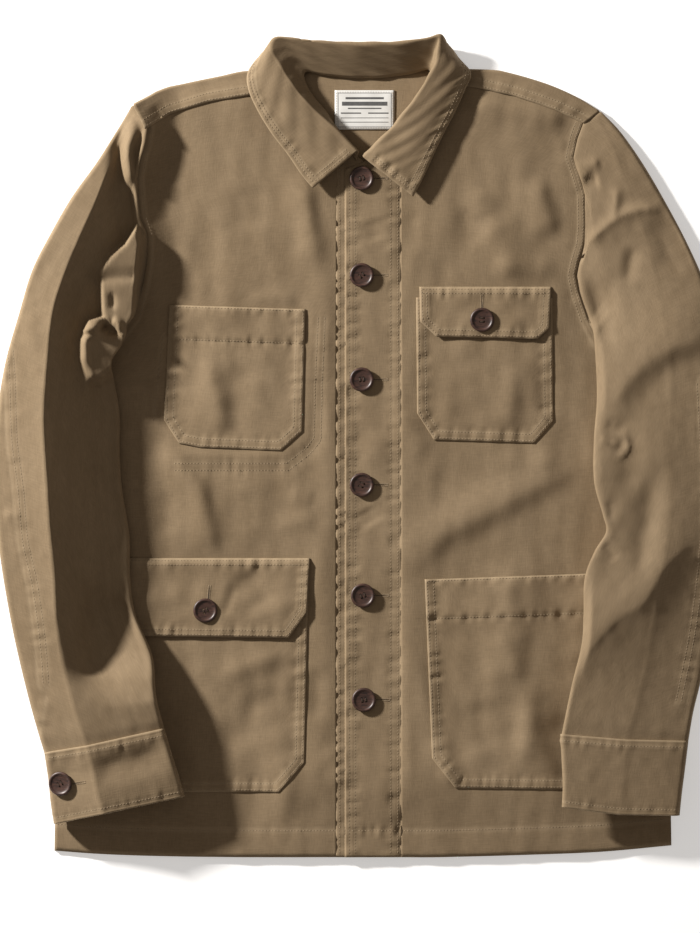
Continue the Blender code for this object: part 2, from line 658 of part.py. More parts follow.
def make_button(name, centre, normal, finish):
    """A button seated on its cloth, facing along this normal."""
    made = solid(name, button_mesh(), finish)
    up = np.array(normal, float) / np.linalg.norm(normal)
    side = np.cross((0, 1, 0), up)
    side = side / np.linalg.norm(side)
    forward = np.cross(up, side)
    for column, axis in enumerate((side, forward, up)):
        for row in range(3):
            made.matrix_world[row][column] = axis[row]
    made.location = np.array(centre) * MM
    return made


def button_on_cuff(name, table, finish):
    """The button on the outer slope of a cuff."""
    points = cuff_points(table, CUFF_BUTTON_ROW + np.array([-CUFF_SLOPE_STEP, 0, CUFF_SLOPE_STEP]))
    near = points[:, CUFF_BUTTON_COLUMN:CUFF_BUTTON_COLUMN + 2]
    down_cuff = (near[2] - near[0]).sum(axis=0)
    across = near[1, 1] - near[1, 0]
    normal = unit(np.cross(down_cuff, across))
    centre = near[1].mean(axis=0) + normal * (CUFF_CLOTH / 2 + AIR)
    return make_button(name, centre, normal, finish)


def button_under_cuff(name, table, x, y, finish):
    """The button on the underside of a cuff, which faces the floor."""
    lift = sleeve_sections(table, np.array([CUFF_BUTTON_ROW]))[4][0]
    height = rest_height(np.array(x), np.array(y)) + lift - 2 * AIR
    return make_button(name, (x, y, height), (0, 0, -1), finish)


def make_label(finish):
    """A woven label sewn flat inside the back, under the neck seam."""
    columns, rows = np.linspace(*LABEL_X, 3), np.linspace(*LABEL_Y, 3)
    plan = np.stack(np.meshgrid(columns, rows), axis=-1)
    height = np.full(plan.shape[:2], CLOTH + AIR + LABEL_CLOTH / 2)
    return cloth("neck_label", raised(plan, height), LABEL_CLOTH, finish)


def button_on_front(name, x, y, layer, finish):
    """A button that lies on a piece of the front."""
    step = BUTTON_SLOPE_STEP
    slope_x = (front_height(x + step, y, layer) - front_height(x - step, y, layer)) / (2 * step)
    slope_y = (front_height(x, y + step, layer) - front_height(x, y - step, layer)) / (2 * step)
    height = front_height(x, y, layer) + CLOTH / 2 + AIR
    return make_button(name, (x, y, height), (-slope_x, -slope_y, 1), finish)


for old in list(bpy.data.objects):
    bpy.data.objects.remove(old)

twill = material("twill", (0.29, 0.215, 0.13), 0.85)
white_label = material("label", (0.85, 0.85, 0.83), 0.7)
horn = material("horn", (0.045, 0.022, 0.018), 0.3)

make_back(twill)
make_front("front_right", RIGHT_HEM, RIGHT_EDGE, RIGHT_NECK, RIGHT_YOKE_SEAM, False, twill)
make_front("front_left", LEFT_HEM, LEFT_EDGE, LEFT_NECK, LEFT_YOKE_SEAM, True, twill)
make_band("band_right", RIGHT_BAND_X, RIGHT_BAND_TOP, lambda x: 0, twill)
make_band("band_left", LEFT_BAND_X, LEFT_BAND_TOP, over_right_band, twill)

make_patch("chest_pocket_right", CHEST_POCKET_RIGHT, lambda below: 1, twill)
make_patch("chest_pocket_left", CHEST_POCKET_LEFT, lambda below: 1, twill)
make_patch("chest_flap_left", CHEST_FLAP_LEFT, lambda below: 1 + smooth(below / FLAP_STEP), twill)
make_patch("lower_pocket_right", LOWER_POCKET_RIGHT, lambda below: 1, twill)
make_patch("lower_flap_right", LOWER_FLAP_RIGHT, lambda below: 1 + smooth(below / FLAP_STEP), twill)
make_patch("lower_pocket_left", LOWER_POCKET_LEFT, lambda below: 1, twill)

make_sleeve("right", RIGHT_SLEEVE, RIGHT_EDGE, twill)
make_sleeve("left", LEFT_SLEEVE, LEFT_EDGE, twill)
make_cuff("right", RIGHT_CUFF, twill)
make_cuff("left", LEFT_CUFF, twill)
cloth("collar", collar_points(COLLAR_ROWS), COLLAR_CLOTH, twill)

for number, (button_x, button_y) in enumerate(FRONT_BUTTONS, start=1):
    button_on_front(f"button_front_{number}", button_x, button_y, 1, horn)
button_on_front("button_chest", *CHEST_BUTTON, 2, horn)
button_on_front("button_lower", *LOWER_BUTTON, 2, horn)
button_on_cuff("button_cuff_right", RIGHT_CUFF, horn)
button_under_cuff("button_cuff_left", LEFT_CUFF, *HIDDEN_CUFF_BUTTON, horn)
make_label(white_label)
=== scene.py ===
import bmesh
import bpy
import numpy as np
from mathutils import Matrix, Vector
from mathutils.bvhtree import BVHTree


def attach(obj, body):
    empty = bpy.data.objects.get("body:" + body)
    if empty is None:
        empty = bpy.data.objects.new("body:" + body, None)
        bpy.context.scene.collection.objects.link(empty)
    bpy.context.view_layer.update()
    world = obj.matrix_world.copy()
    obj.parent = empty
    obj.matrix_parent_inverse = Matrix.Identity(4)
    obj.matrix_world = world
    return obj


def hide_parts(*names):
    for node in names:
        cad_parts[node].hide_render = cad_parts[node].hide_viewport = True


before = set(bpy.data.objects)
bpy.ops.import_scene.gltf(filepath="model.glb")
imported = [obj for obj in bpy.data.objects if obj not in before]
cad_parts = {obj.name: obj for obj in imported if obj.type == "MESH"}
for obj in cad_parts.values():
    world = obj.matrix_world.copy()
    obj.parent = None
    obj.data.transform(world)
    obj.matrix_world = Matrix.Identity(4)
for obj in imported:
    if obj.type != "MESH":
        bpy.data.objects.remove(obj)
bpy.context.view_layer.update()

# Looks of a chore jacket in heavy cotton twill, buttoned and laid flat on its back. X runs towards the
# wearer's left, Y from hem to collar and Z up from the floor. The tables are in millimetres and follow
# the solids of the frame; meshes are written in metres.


# ---- Back -------------------------------------------------------------------------------------
# One panel of twill that lies on the floor, wraps over both shoulders and is felled to the fronts
# at the yoke seams. Its hem is turned twice and stitched.

MM = 0.001
CLOTH = 1.2
AIR = 0.4
LAYER = CLOTH + AIR
ARMHOLE_AIR = 1.2
BODY_AIR = 2.0
SIDE_EASE = 60
EASE_LINE_Y = (-60, 150)
EASE_LINE_X = (288, 206)
DRAPE_EASE = 25
ARMPIT_Y = 51
HEM_Y = -386

RIGHT_SIDE = [(-290, -380), (-288, -240), (-286, -100), (-285, ARMPIT_Y)]
LEFT_SIDE = [(290, -375), (288, -240), (287, -100), (286, ARMPIT_Y)]
RIGHT_ARMHOLE = [
    (-285, ARMPIT_Y), (-267, 54), (-253, 69), (-240, 92), (-217, 122), (-209, 152),
    (-205, 177), (-205, 199), (-211, 214), (-213, 232), (-214, 251), (-211, 268),
    (-206, 286), (-204, 300),
]
LEFT_ARMHOLE = [
    (286, ARMPIT_Y), (264, 55), (244, 69), (227, 90), (212, 119), (203, 145), (200, 161),
    (203, 174), (208, 190), (209.5, 208), (209, 238), (204, 255), (198, 272), (202, 290), (208, 306),
]
BACK_HEM = [(-290, -380), (-191, -385), (-60, HEM_Y), (72, HEM_Y), (200, -382), (290, -375)]
RIGHT_EDGE = np.array(RIGHT_SIDE + RIGHT_ARMHOLE[1:], float)
LEFT_EDGE = np.array(LEFT_SIDE + LEFT_ARMHOLE[1:], float)
RIGHT_SHOULDER = [
    (-215, 319), (-202, 326), (-191, 332), (-172, 338), (-134, 346), (-108, 351), (-59, 352),
]
LEFT_SHOULDER = [(69, 353), (119, 352), (138, 349), (166, 341), (185, 334), (204, 325), (222, 314)]
RIGHT_YOKE_SEAM = [(-204, 300), (-181, 315), (-145, 326), (-103, 333), (-59, 339)]
LEFT_YOKE_SEAM = [(69, 345), (105, 340), (142, 332), (180, 319), (208, 306)]
BACK_NECK = [(-59, 352), (-40, 357), (2, 356), (44, 358), (69, 353)]

BACK_STEP = 14
SHOULDER_PARTS = 60
SHOULDER_REACH = 2.6
SHOULDER_TURN = (20, 45, 70, 95, 120, 145, 165, 180)
YOKE_STRIP = np.linspace(0.1, 1, 9)
YOKE_LAP = 2.5
YOKE_LIFT = 0.75
YOKE_ROWS = (2.2, 8.5)
YOKE_TURNING = 9.5
BACK_HEM_DEPTH = 25

BODY_COCKLE = [(0.34, 46, 3, 2.2), (0.13, 17, 4, 1.6)]
# Tables of folds: widths to the left and right of the line, height, taper at both ends, and the line.
BODY_FOLDS = [
    (38, 38, 1.2, 0, [(-150, 250), (-120, 160)]),
    (34, 34, -1.3, 0, [(218, 10), (168, -22)]),
    (34, 34, -1.0, 0, [(-120, -130), (-132, -160)]),
    (40, 40, 1.3, 0, [(110, -40), (150, -90)]),
    (40, 40, 1.2, 0, [(-90, -20), (-160, -70)]),
]
BODY_CREASES = [
    # wearer's right chest and its pocket
    (10, 14, -0.9, 0.4, [(-150, 228), (-143, 190), (-150, 150)]),
    (16, 9, 0.8, 0.4, [(-125, 262), (-100, 205), (-104, 160)]),
    (22, 22, -1.4, 0.3, [(-104, 248), (-98, 200)]),
    (10, 15, 3.8, 0.3, [(-60, 262), (-52, 215), (-42, 160)]),
    (6, 8, 1.3, 0.3, [(-110, 140), (-80, 140), (-58, 138)]),
    (10, 14, 2.8, 0.3, [(-146, 86), (-139, 45), (-127, 4)]),
    (12, 12, -1.4, 0.3, [(-178, 70), (-176, 25)]),
    (12, 20, 1.0, 0.4, [(-66, 120), (-58, 40), (-64, -60)]),
    (9, 12, -0.7, 0.4, [(-48, 70), (-44, -20), (-40, -90)]),
    (6, 8, 1.2, 0.2, [(-184, -7), (-120, -10), (-58, -8)]),
    # wearer's right side below it, down to the hem
    (9, 15, 3.8, 0.25, [(-192, 10), (-176, -14), (-156, -40), (-147, -68), (-143, -110)]),
    (14, 12, -1.2, 0.3, [(-186, -40), (-180, -85)]),
    (14, 14, -1.1, 0.3, [(-110, -40), (-106, -80)]),
    (9, 15, 0.7, 0.3, [(-88, -22), (-98, -56), (-96, -92)]),
    (8, 9, 1.3, 0.3, [(-88, -76), (-62, -71), (-40, -68)]),
    (9, 9, 1.2, 0.3, [(-70, -44), (-45, -50)]),
    (18, 18, -2.6, 0.3, [(-108, -108), (-86, -156)]),
    (4, 6, -1.0, 0.3, [(-120, -128), (-125, -144), (-132, -162)]),
    (9, 11, 1.8, 0.3, [(-150, -228), (-116, -210), (-66, -192)]),
    (12, 12, -2.0, 0.3, [(-70, -228), (-104, -246), (-118, -292)]),
    (18, 16, 2.0, 0.3, [(-74, -252), (-76, -300), (-58, -350)]),
    (30, 10, 2.0, 0.2, [(-70, 338), (-130, 328), (-185, 312)]),
    # both sides of the front bands, and the hem
    (12, 12, 2.0, 0.3, [(18, 18), (8, -10), (-4, -20)]),
    (8, 8, -1.6, 0.3, [(-10, 62), (-12, 20)]),
    (14, 14, -1.2, 0.3, [(0, -58), (10, -75)]),
    (9, 9, -2.0, 0.3, [(-42, -205), (-44, -235), (-40, -262)]),
    (12, 12, 2.0, 0.3, [(-38, -280), (-25, -300), (-22, -325)]),
    (12, 12, 2.4, 0.3, [(66, -270), (76, -300), (92, -318)]),
    (14, 18, 2.0, 0.1, [(-40, 195), (-36, 120), (-35, 0), (-36, -120), (-42, -250), (-46, -350)]),
    (24, 8, 1.8, 0.1, [(38, 170), (37, 100), (38, -50), (42, -200), (46, -350)]),
    (14, 10, 1.6, 0.3, [(38, 40), (48, 10), (66, -8)]),
    (12, 10, -1.2, 0.3, [(8, 215), (14, 192)]),
    (40, 36, 4.0, 0.12, [(-105, -319), (0, -320), (215, -316)]),
    # wearer's left chest and its pocket
    (10, 10, 2.5, 0.3, [(118, 172), (150, 167), (186, 168)]),
    (12, 12, 1.6, 0.3, [(110, 244), (114, 212)]),
    (12, 10, 2.0, 0.3, [(122, -10), (160, -15), (188, -8)]),
    (12, 9, 3.0, 0.2, [(195, 304), (168, 311), (135, 318), (98, 324)]),
    (12, 16, 0.8, 0.4, [(92, 232), (80, 200), (84, 168)]),
    (12, 12, -1.6, 0.3, [(92, 226), (102, 206), (112, 188)]),
    (8, 8, -1.2, 0.3, [(47, 226), (50, 182)]),
    (15, 20, 3.0, 0.3, [(120, 222), (133, 190), (143, 156)]),
    (10, 14, 3.6, 0.3, [(160, 255), (170, 226), (178, 194)]),
    (10, 14, 0.7, 0.4, [(116, 296), (128, 262), (124, 226)]),
    (10, 12, 0.8, 0.3, [(44, 250), (52, 200), (46, 150)]),
    (10, 14, 2.0, 0.3, [(142, 78), (138, 42), (134, 12)]),
    (12, 12, -1.4, 0.3, [(172, 70), (176, 25)]),
    # the long fold from the wearer's left elbow to the front band, and the lower pocket
    (13, 20, 4.2, 0.22, [(213, -8), (190, -22), (150, -42), (110, -64), (75, -80), (58, -102), (54, -126)]),
    (20, 16, -1.2, 0.3, [(60, -30), (100, -30), (135, -22)]),
    (20, 22, 4.0, 0.25, [(136, -98), (142, -150), (140, -200), (134, -246)]),
    (13, 13, 2.2, 0.3, [(44, -178), (58, -235), (74, -295)]),
    (12, 12, -1.4, 0.3, [(108, -235), (112, -290)]),
    (16, 14, 3.0, 0.3, [(150, -215), (156, -250), (158, -300)]),
    (12, 16, -3.5, 0.3, [(190, -235), (192, -280), (190, -330)]),
]


def smooth(t):
    """Ease from 0 to 1 while t runs from 0 to 1."""
    t = np.clip(t, 0, 1)
    return t * t * (3 - 2 * t)


def bell(distance, width):
    """1 at no distance, fading softly over this width."""
    return np.exp(-((distance / width) ** 2))


def xy(plan):
    """The X and the Y of plan points."""
    return plan[..., 0], plan[..., 1]


def between(rows, at):
    """Smooth values between the rows of a table, read at these row numbers."""
    rows = np.asarray(rows, float)
    slope = np.gradient(rows, axis=0)
    first = np.clip(np.floor(at).astype(int), 0, len(rows) - 2)
    t = (at - first)[:, None]
    start = (2 * t**3 - 3 * t**2 + 1) * rows[first] + (t**3 - 2 * t**2 + t) * slope[first]
    end = (3 * t**2 - 2 * t**3) * rows[first + 1] + (t**3 - t**2) * slope[first + 1]
    return start + end


def curve(points):
    """A smooth line through these points, as many short steps."""
    return between(points, np.linspace(0, len(points) - 1, 8 * (len(points) - 1) + 1))


def lengths_along(line):
    """Distance from a line's start to each of its points."""
    return np.concatenate([[0], np.cumsum(np.linalg.norm(np.diff(line, axis=0), axis=1))])


def along(line, fractions):
    """Points of a line at these fractions of its length."""
    line = np.asarray(line, float)
    reach = lengths_along(line)
    at = np.asarray(fractions) * reach[-1]
    return np.stack([np.interp(at, reach, axis) for axis in line.T], axis=1)


def stepped(line, longest):
    """The corners of a line, with its long stretches divided, as fractions of its length."""
    reach = lengths_along(np.asarray(line, float))
    stretches = [
        np.linspace(start, end, int(np.ceil((end - start) / longest)) + 1)[1:]
        for start, end in zip(reach, reach[1:])
    ]
    return np.concatenate([[0], *stretches]) / reach[-1]


def offset(line, distance):
    """A line moved sideways, to its left where the distance is above zero, with its corners mitred."""
    line = np.asarray(line, float)
    step = np.diff(line, axis=0)
    normal = np.stack([-step[:, 1], step[:, 0]], axis=1) / np.linalg.norm(step, axis=1)[:, None]
    mitre = np.vstack([normal[:1], normal]) + np.vstack([normal, normal[-1:]])
    return line + distance * mitre * 2 / (mitre * mitre).sum(axis=1, keepdims=True)


def patch(bottom, top, left, right):
    """Rows of plan points inside four edges; bottom and top run one way, left and right upwards."""
    bottom, top, left, right = (np.asarray(edge, float) for edge in (bottom, top, left, right))
    u = np.linspace(0, 1, len(bottom))[None, :, None]
    v = np.linspace(0, 1, len(left))[:, None, None]
    across = (1 - u) * left[:, None] + u * right[:, None]
    upwards = (1 - v) * bottom + v * top
    ends = (1 - v) * ((1 - u) * bottom[0] + u * bottom[-1]) + v * ((1 - u) * top[0] + u * top[-1])
    return across + upwards - ends


def raised(plan, height):
    """Plan points lifted to their heights."""
    return np.concatenate([plan, height[..., None]], axis=-1)


def rumple(x, y, size, seed, stretch=1.0):
    """A soft random relief between about -1 and 1, with waves of this size, stretched along Y."""
    dice = np.random.default_rng(seed)
    total = np.zeros(np.broadcast(x, y).shape)
    waves = 14
    for _ in range(waves):
        turn = dice.uniform(0, 2 * np.pi)
        count = 2 * np.pi / (size * dice.uniform(0.7, 1.6))
        phase = dice.uniform(0, 2 * np.pi)
        total += np.sin(count * (np.cos(turn) * x + np.sin(turn) * y / stretch) + phase)
    return total / np.sqrt(waves)


def cockled(x, y, table):
    """Soft reliefs on each other; the table has their height, size of waves, seed and stretch."""
    return sum(height * rumple(x, y, size, seed, stretch) for height, size, seed, stretch in table)


def near(x, y, line):
    """Distance to a line, how far along it the nearest point lies, and whether x, y is on its left."""
    nearest = np.full(np.broadcast(x, y).shape, np.inf)
    run = np.zeros(nearest.shape)
    left = np.zeros(nearest.shape, bool)
    reach = lengths_along(np.asarray(line, float))
    for (x0, y0), (x1, y1), start in zip(line, line[1:], reach):
        dx, dy = x1 - x0, y1 - y0
        t = np.clip(((x - x0) * dx + (y - y0) * dy) / (dx * dx + dy * dy), 0, 1)
        away = np.hypot(x - x0 - t * dx, y - y0 - t * dy)
        better = away < nearest
        nearest = np.where(better, away, nearest)
        run = np.where(better, start + t * np.hypot(dx, dy), run)
        left = np.where(better, dx * (y - y0) - dy * (x - x0) > 0, left)
    return nearest, run, left


def creases(x, y, table, right_power=2):
    """The folds of a table; a power of 1 makes them drop away sharply on the right of their lines."""
    total = np.zeros(np.broadcast(x, y).shape)
    for left_width, right_width, height, taper, points in table:
        line = curve(points)
        away, run, left = near(x, y, line)
        share = run / lengths_along(line)[-1]
        ends = smooth(share / taper) * smooth((1 - share) / taper) if taper else 1
        right = np.exp(-((away / right_width) ** right_power))
        total += height * ends * np.where(left, bell(away, left_width), right)
    return total


# The wearer's right armhole stands up towards the shoulder: place along Y and height.
STANDING_Y = (145, 185, 208, 249, 275, 300, 330)
STANDING_HEIGHT = (0, 8, 13, 17, 19, 19, 16)
STANDING_FALL = 46


def edge_x(edge, y):
    """Where side seam and armhole run at this height up the body."""
    return np.interp(y, edge[:, 1], edge[:, 0])


def front_height(x, y, layer=0):
    """Middle of the front's cloth, or of a piece that lies this many layers above it."""
    inside = np.interp(y, EASE_LINE_Y, EASE_LINE_X) - np.abs(x)
    at_edge = ARMHOLE_AIR * smooth((y - ARMPIT_Y) / SIDE_EASE)
    away = smooth(inside / SIDE_EASE)
    air = at_edge + (BODY_AIR - at_edge) * away
    flat = LAYER + CLOTH / 2 + air + away * creases(x, y, BODY_FOLDS) + layer * LAYER
    from_edge = x - edge_x(RIGHT_EDGE, y)
    standing = np.interp(y, STANDING_Y, STANDING_HEIGHT)
    return flat + standing * np.clip(1 - from_edge / STANDING_FALL, 0, 1) ** 2


def draped(x, y, layer=0):
    """The front's height with its drape: soft folds, and the slight cockle of washed twill."""
    inside = smooth((np.interp(y, EASE_LINE_Y, EASE_LINE_X) - np.abs(x)) / DRAPE_EASE)
    return front_height(x, y, layer) + inside * (creases(x, y, BODY_CREASES) + cockled(x, y, BODY_COCKLE))


def facing(points, outwards=1):
    """Unit normals of rows of points."""
    normal = np.cross(np.gradient(points, axis=1), np.gradient(points, axis=0))
    return outwards * unit(normal)


def unit(vectors):
    """Vectors of length one."""
    return vectors / np.maximum(np.linalg.norm(vectors, axis=-1, keepdims=True), 1e-9)


def cloth_lengths(points):
    """Distance over the cloth from the first column, and from the first row, to every point."""
    across, upwards = (np.linalg.norm(np.diff(points, axis=axis), axis=2) for axis in (1, 0))
    return np.pad(across, ((0, 0), (1, 0))).cumsum(axis=1), np.pad(upwards, ((1, 0), (0, 0))).cumsum(axis=0)


# Relief of a turned and stitched edge.
TURN_RISE = 0.42
EDGE_FALL = 0.5
GROOVE = 0.26
PUCKER = 0.42
PUCKER_LENGTH = 8.5
PUCKER_REACH = 4.5


def ripples(distance, size, seed):
    """Uneven short waves along a line, between about -1 and 1."""
    return rumple(distance, 0 * distance, size, seed)


def stitched_edge(away, run, rows, width, seed, pucker=PUCKER, rise=TURN_RISE):
    """Rise of a turned edge: thicker as far as its turning, sunk at each stitch row, and puckered."""
    turning = rise * smooth((width + 1.5 - away) / 2.5)
    rolled_edge = -EDGE_FALL * (1 - smooth(away / 1.6))
    sunk = -GROOVE * sum(bell(away - row, 1.2) for row in rows)
    reach = sum(bell(away - row, PUCKER_REACH) for row in rows)
    gathered = pucker * ripples(run, PUCKER_LENGTH, seed) * np.minimum(reach, 1) * smooth(away / 3)
    return turning + rolled_edge + sunk + gathered


def worn_edge(away, rows):
    """How pale the cloth is along a turned edge and its stitch rows, from 0 to 1."""
    return np.maximum(1 - smooth(away / 1.8), 0.75 * sum(bell(away - row, 1.3) for row in rows))


def finished(data, mesh, finish, smooth_shaded=True):
    """Write a bmesh to a mesh of this material."""
    mesh.to_mesh(data)
    mesh.free()
    data.materials.append(finish)
    if smooth_shaded:
        data.shade_smooth()
    return data


def placed(name, data, nodes=()):
    """An object of this mesh, riding the part's body in place of these solids."""
    made = bpy.data.objects.new(name, data)
    bpy.context.scene.collection.objects.link(made)
    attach(made, "root")
    if nodes:
        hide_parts(*nodes)
    return made


def add(tree, kind, values=None, **settings):
    """A new shader node with its settings, its numbered or named inputs linked or set."""
    node = tree.nodes.new("ShaderNode" + kind)
    for setting, value in settings.items():
        setattr(node, setting, value)
    return wired(tree, node, values or {})


def wired(tree, node, values):
    """A node with these inputs linked to a socket or set to a value."""
    for socket, value in values.items():
        if isinstance(value, bpy.types.NodeSocket):
            tree.links.new(value, node.inputs[socket])
        else:
            node.inputs[socket].default_value = value
    return node


def noise(tree, vector, scale, detail, **values):
    """Noise as a value; three scales draw it out along the axes."""
    if isinstance(scale, tuple):
        vector = add(tree, "Mapping", {"Vector": vector, "Scale": scale}).outputs[0]
        scale = 1.0
    values.update(Vector=vector, Scale=scale, Detail=detail)
    return add(tree, "TexNoise", values).outputs["Fac"]


def calculated(tree, operation, *values):
    """The result of an operation on sockets or numbers."""
    return add(tree, "Math", dict(enumerate(values)), operation=operation).outputs[0]


def ramp(tree, value, *stops):
    """A colour that runs between two stops, each a place and a colour."""
    tint = add(tree, "ValToRGB", {"Fac": value})
    for element, (place, colour) in zip(tint.color_ramp.elements, stops):
        element.position = place
        element.color = (*colour, 1)
    return tint.outputs["Color"]


def bump(tree, height, strength, distance):
    """A normal that shows this height."""
    values = {"Height": height, "Strength": strength, "Distance": distance}
    return add(tree, "Bump", values).outputs[0]


def node_group(name, inputs, build):
    """A shader group: vectors in, and out the values that this function makes of them."""
    group = bpy.data.node_groups.new(name, "ShaderNodeTree")
    for label in inputs:
        group.interface.new_socket(label, in_out="INPUT", socket_type="NodeSocketVector")
    values = build(group, group.nodes.new("NodeGroupInput").outputs)
    for label in values:
        group.interface.new_socket(label, in_out="OUTPUT", socket_type="NodeSocketFloat")
    wired(group, group.nodes.new("NodeGroupOutput"), values)
    return group


def material(name, build):
    """A material with the Principled inputs that this function makes of its texture coordinates."""
    made = bpy.data.materials.new(name)
    made.use_nodes = True
    tree = made.node_tree
    wired(tree, tree.nodes["Principled BSDF"], build(tree, add(tree, "TexCoord").outputs))
    return made


def weave(group, entry):
    """Twill as height and tone: fine diagonal ribs and slubby yarns."""
    turned = add(group, "Mapping", {"Vector": entry[0], "Rotation": (0, 0, 1.05)})
    ribs = add(group, "TexWave", {"Vector": turned.outputs[0], "Scale": 320.0, "Distortion": 1.6,
                                  "Detail": 1.0, "Detail Scale": 2.0})
    warp = noise(group, entry[0], (900, 110, 1), 3.0)
    weft = noise(group, entry[0], (90, 800, 1), 3.0)
    yarns = calculated(group, "ADD", warp, weft)
    height = calculated(group, "MULTIPLY_ADD", ribs.outputs["Fac"], 0.45, yarns)
    return {"Height": height, "Tone": calculated(group, "MULTIPLY", yarns, 0.5)}


def uneven_dye(group, entry):
    """A mask of broad clouds, small blotches and streaks along the warp."""
    clouds = noise(group, entry[0], 9.0, 4.0, Roughness=0.55)
    blotches = noise(group, entry[0], 60.0, 4.0, Roughness=0.6)
    streaks = noise(group, entry["Cloth"], (120, 9, 1), 3.0)
    first = calculated(group, "MULTIPLY", clouds, 0.45)
    second = calculated(group, "MULTIPLY_ADD", blotches, 0.3, first)
    return {"Fade": calculated(group, "MULTIPLY_ADD", streaks, 0.25, second)}


WEAVE = node_group("twill weave", ["Vector"], weave)
FADE = node_group("uneven dye", ["Vector", "Cloth"], uneven_dye)


DEEP_KHAKI = (0.212, 0.150, 0.086)
PALE_KHAKI = (0.262, 0.190, 0.114)
WORN_KHAKI = (0.36, 0.272, 0.172)


def khaki_twill(tree, place):
    """Washed cotton twill: uneven dye, paler worn edges, and the weave in the bump."""
    yarns = add(tree, "Group", {"Vector": place["UV"]}, node_tree=WEAVE)
    fade = add(tree, "Group", {"Vector": place["Object"], "Cloth": place["UV"]}, node_tree=FADE)
    dyed = ramp(tree, fade.outputs["Fade"], (0.36, DEEP_KHAKI), (0.64, PALE_KHAKI))
    tone = add(tree, "MapRange", {"Value": yarns.outputs["Tone"], "From Min": 0.3, "From Max": 0.7,
                                  "To Min": 0.86, "To Max": 1.12})
    grain = add(tree, "Mix", {0: 1.0, 6: dyed, 7: tone.outputs[0]}, data_type="RGBA", blend_type="MULTIPLY")
    edges = add(tree, "Attribute", attribute_name="worn")
    much = calculated(tree, "MULTIPLY", edges.outputs["Fac"], 0.6)
    rubbed = add(tree, "Mix", {0: much, 6: grain.outputs[2], 7: (*WORN_KHAKI, 1)}, data_type="RGBA")
    return {
        "Base Color": rubbed.outputs[2], "Normal": bump(tree, yarns.outputs["Height"], 0.35, 0.00035),
        "Roughness": 0.8, "Specular IOR Level": 0.25,
        "Sheen Weight": 0.12, "Sheen Roughness": 0.45, "Sheen Tint": (0.9, 0.78, 0.6, 1),
    }


def thread(name, colour):
    """Sewing thread of this colour, unevenly twisted."""
    def build(tree, place):
        shaded = tuple(0.75 * part for part in colour)
        speckle = noise(tree, place["Object"], 300.0, 2.0)
        return {"Base Color": ramp(tree, speckle, (0.3, shaded), (0.7, colour)), "Roughness": 0.6}
    return material(name, build)


BODY_TWILL = material("khaki_twill", khaki_twill)
THREAD = thread("khaki_thread", (0.3, 0.22, 0.135))
THREAD_PITCH = 3.0
THREAD_SIZE = (1.25, 0.36, 0.3)
FLAT_THREAD = (1.25, 0.36, 0.16)
SEWN_DEPTH = 2.5
MERGE = 1e-6


def cloth(name, nodes, points, thickness=CLOTH, worn=None, ring=False, drop=None,
          finish=BODY_TWILL):
    """A sheet through rows of points in its middle surface: UV map in metres over the cloth, then a wall."""
    rows, columns = points.shape[:2]
    mesh = bmesh.new()
    bmesh.ops.create_grid(mesh, x_segments=columns - 1, y_segments=rows - 1, size=0.5)
    data = bpy.data.meshes.new(name)
    mesh.to_mesh(data)
    places = np.empty(len(data.vertices) * 3)
    data.vertices.foreach_get("co", places)
    share = places.reshape(-1, 3)[:, :2] + 0.5
    column, row = np.rint(share * (columns - 1, rows - 1)).astype(int).T
    data.vertices.foreach_set("co", (points[row, column] * MM).ravel())
    corners = np.empty(len(data.loops), int)
    data.loops.foreach_get("vertex_index", corners)
    over = np.stack(cloth_lengths(points), axis=-1)[row, column][corners] * MM
    data.uv_layers.new(name="cloth").data.foreach_set("uv", over.ravel())
    worn = np.zeros((rows, columns)) if worn is None else worn
    pale = data.attributes.new("worn", "FLOAT", "POINT")
    pale.data.foreach_set("value", worn[row, column].astype(np.float32))
    mesh.clear()
    mesh.from_mesh(data)
    if drop:
        unwanted = [
            face for face in mesh.faces
            if drop(min(row[v.index] for v in face.verts), min(column[v.index] for v in face.verts))
        ]
        bmesh.ops.delete(mesh, geom=unwanted, context="FACES")
    if ring:
        bmesh.ops.remove_doubles(mesh, verts=mesh.verts, dist=MERGE)
    made = placed(name, finished(data, mesh, finish), nodes)
    wall = made.modifiers.new("Wall", "SOLIDIFY")
    wall.thickness = thickness * MM
    wall.offset = 0
    return made


def surface(carrier):
    """A piece's surface, for finding where a ray meets it."""
    return BVHTree.FromObject(carrier, bpy.context.evaluated_depsgraph_get())


def sized(size):
    """A scale from a unit sphere to this half size."""
    return Matrix.Diagonal((*(part * MM for part in size), 1))


DOWN = Vector((0, 0, -1))


def sew(name, carrier, lines, finish=THREAD, pitch=THREAD_PITCH, size=THREAD_SIZE, below=False):
    """Rows of stitches along lines, laid on the upper or the lower face of a piece."""
    found = surface(carrier)
    start, way = (-1, -DOWN) if below else (1, DOWN)
    mesh = bmesh.new()
    for line in lines:
        reach = lengths_along(np.asarray(line, float))[-1]
        spots = along(line, np.linspace(0, 1, max(2, int(reach / pitch) + 1)))
        for spot, step in zip((spots[:-1] + spots[1:]) / 2, np.diff(spots, axis=0)):
            hit, normal, _, _ = found.ray_cast(Vector((spot[0] * MM, spot[1] * MM, start)), way)
            if hit is None or (len(spot) == 3 and abs(hit.z - spot[2] * MM) > SEWN_DEPTH * MM):
                continue
            run = Vector((step[0], step[1], 0)).normalized()
            run = (run - normal * run.dot(normal)).normalized()
            turn = Matrix((run, normal.cross(run), normal)).transposed().to_4x4()
            place = Matrix.Translation(hit) @ turn @ sized(size)
            bmesh.ops.create_icosphere(mesh, subdivisions=1, radius=1, matrix=place)
    return placed(name, finished(bpy.data.meshes.new(name), mesh, finish))


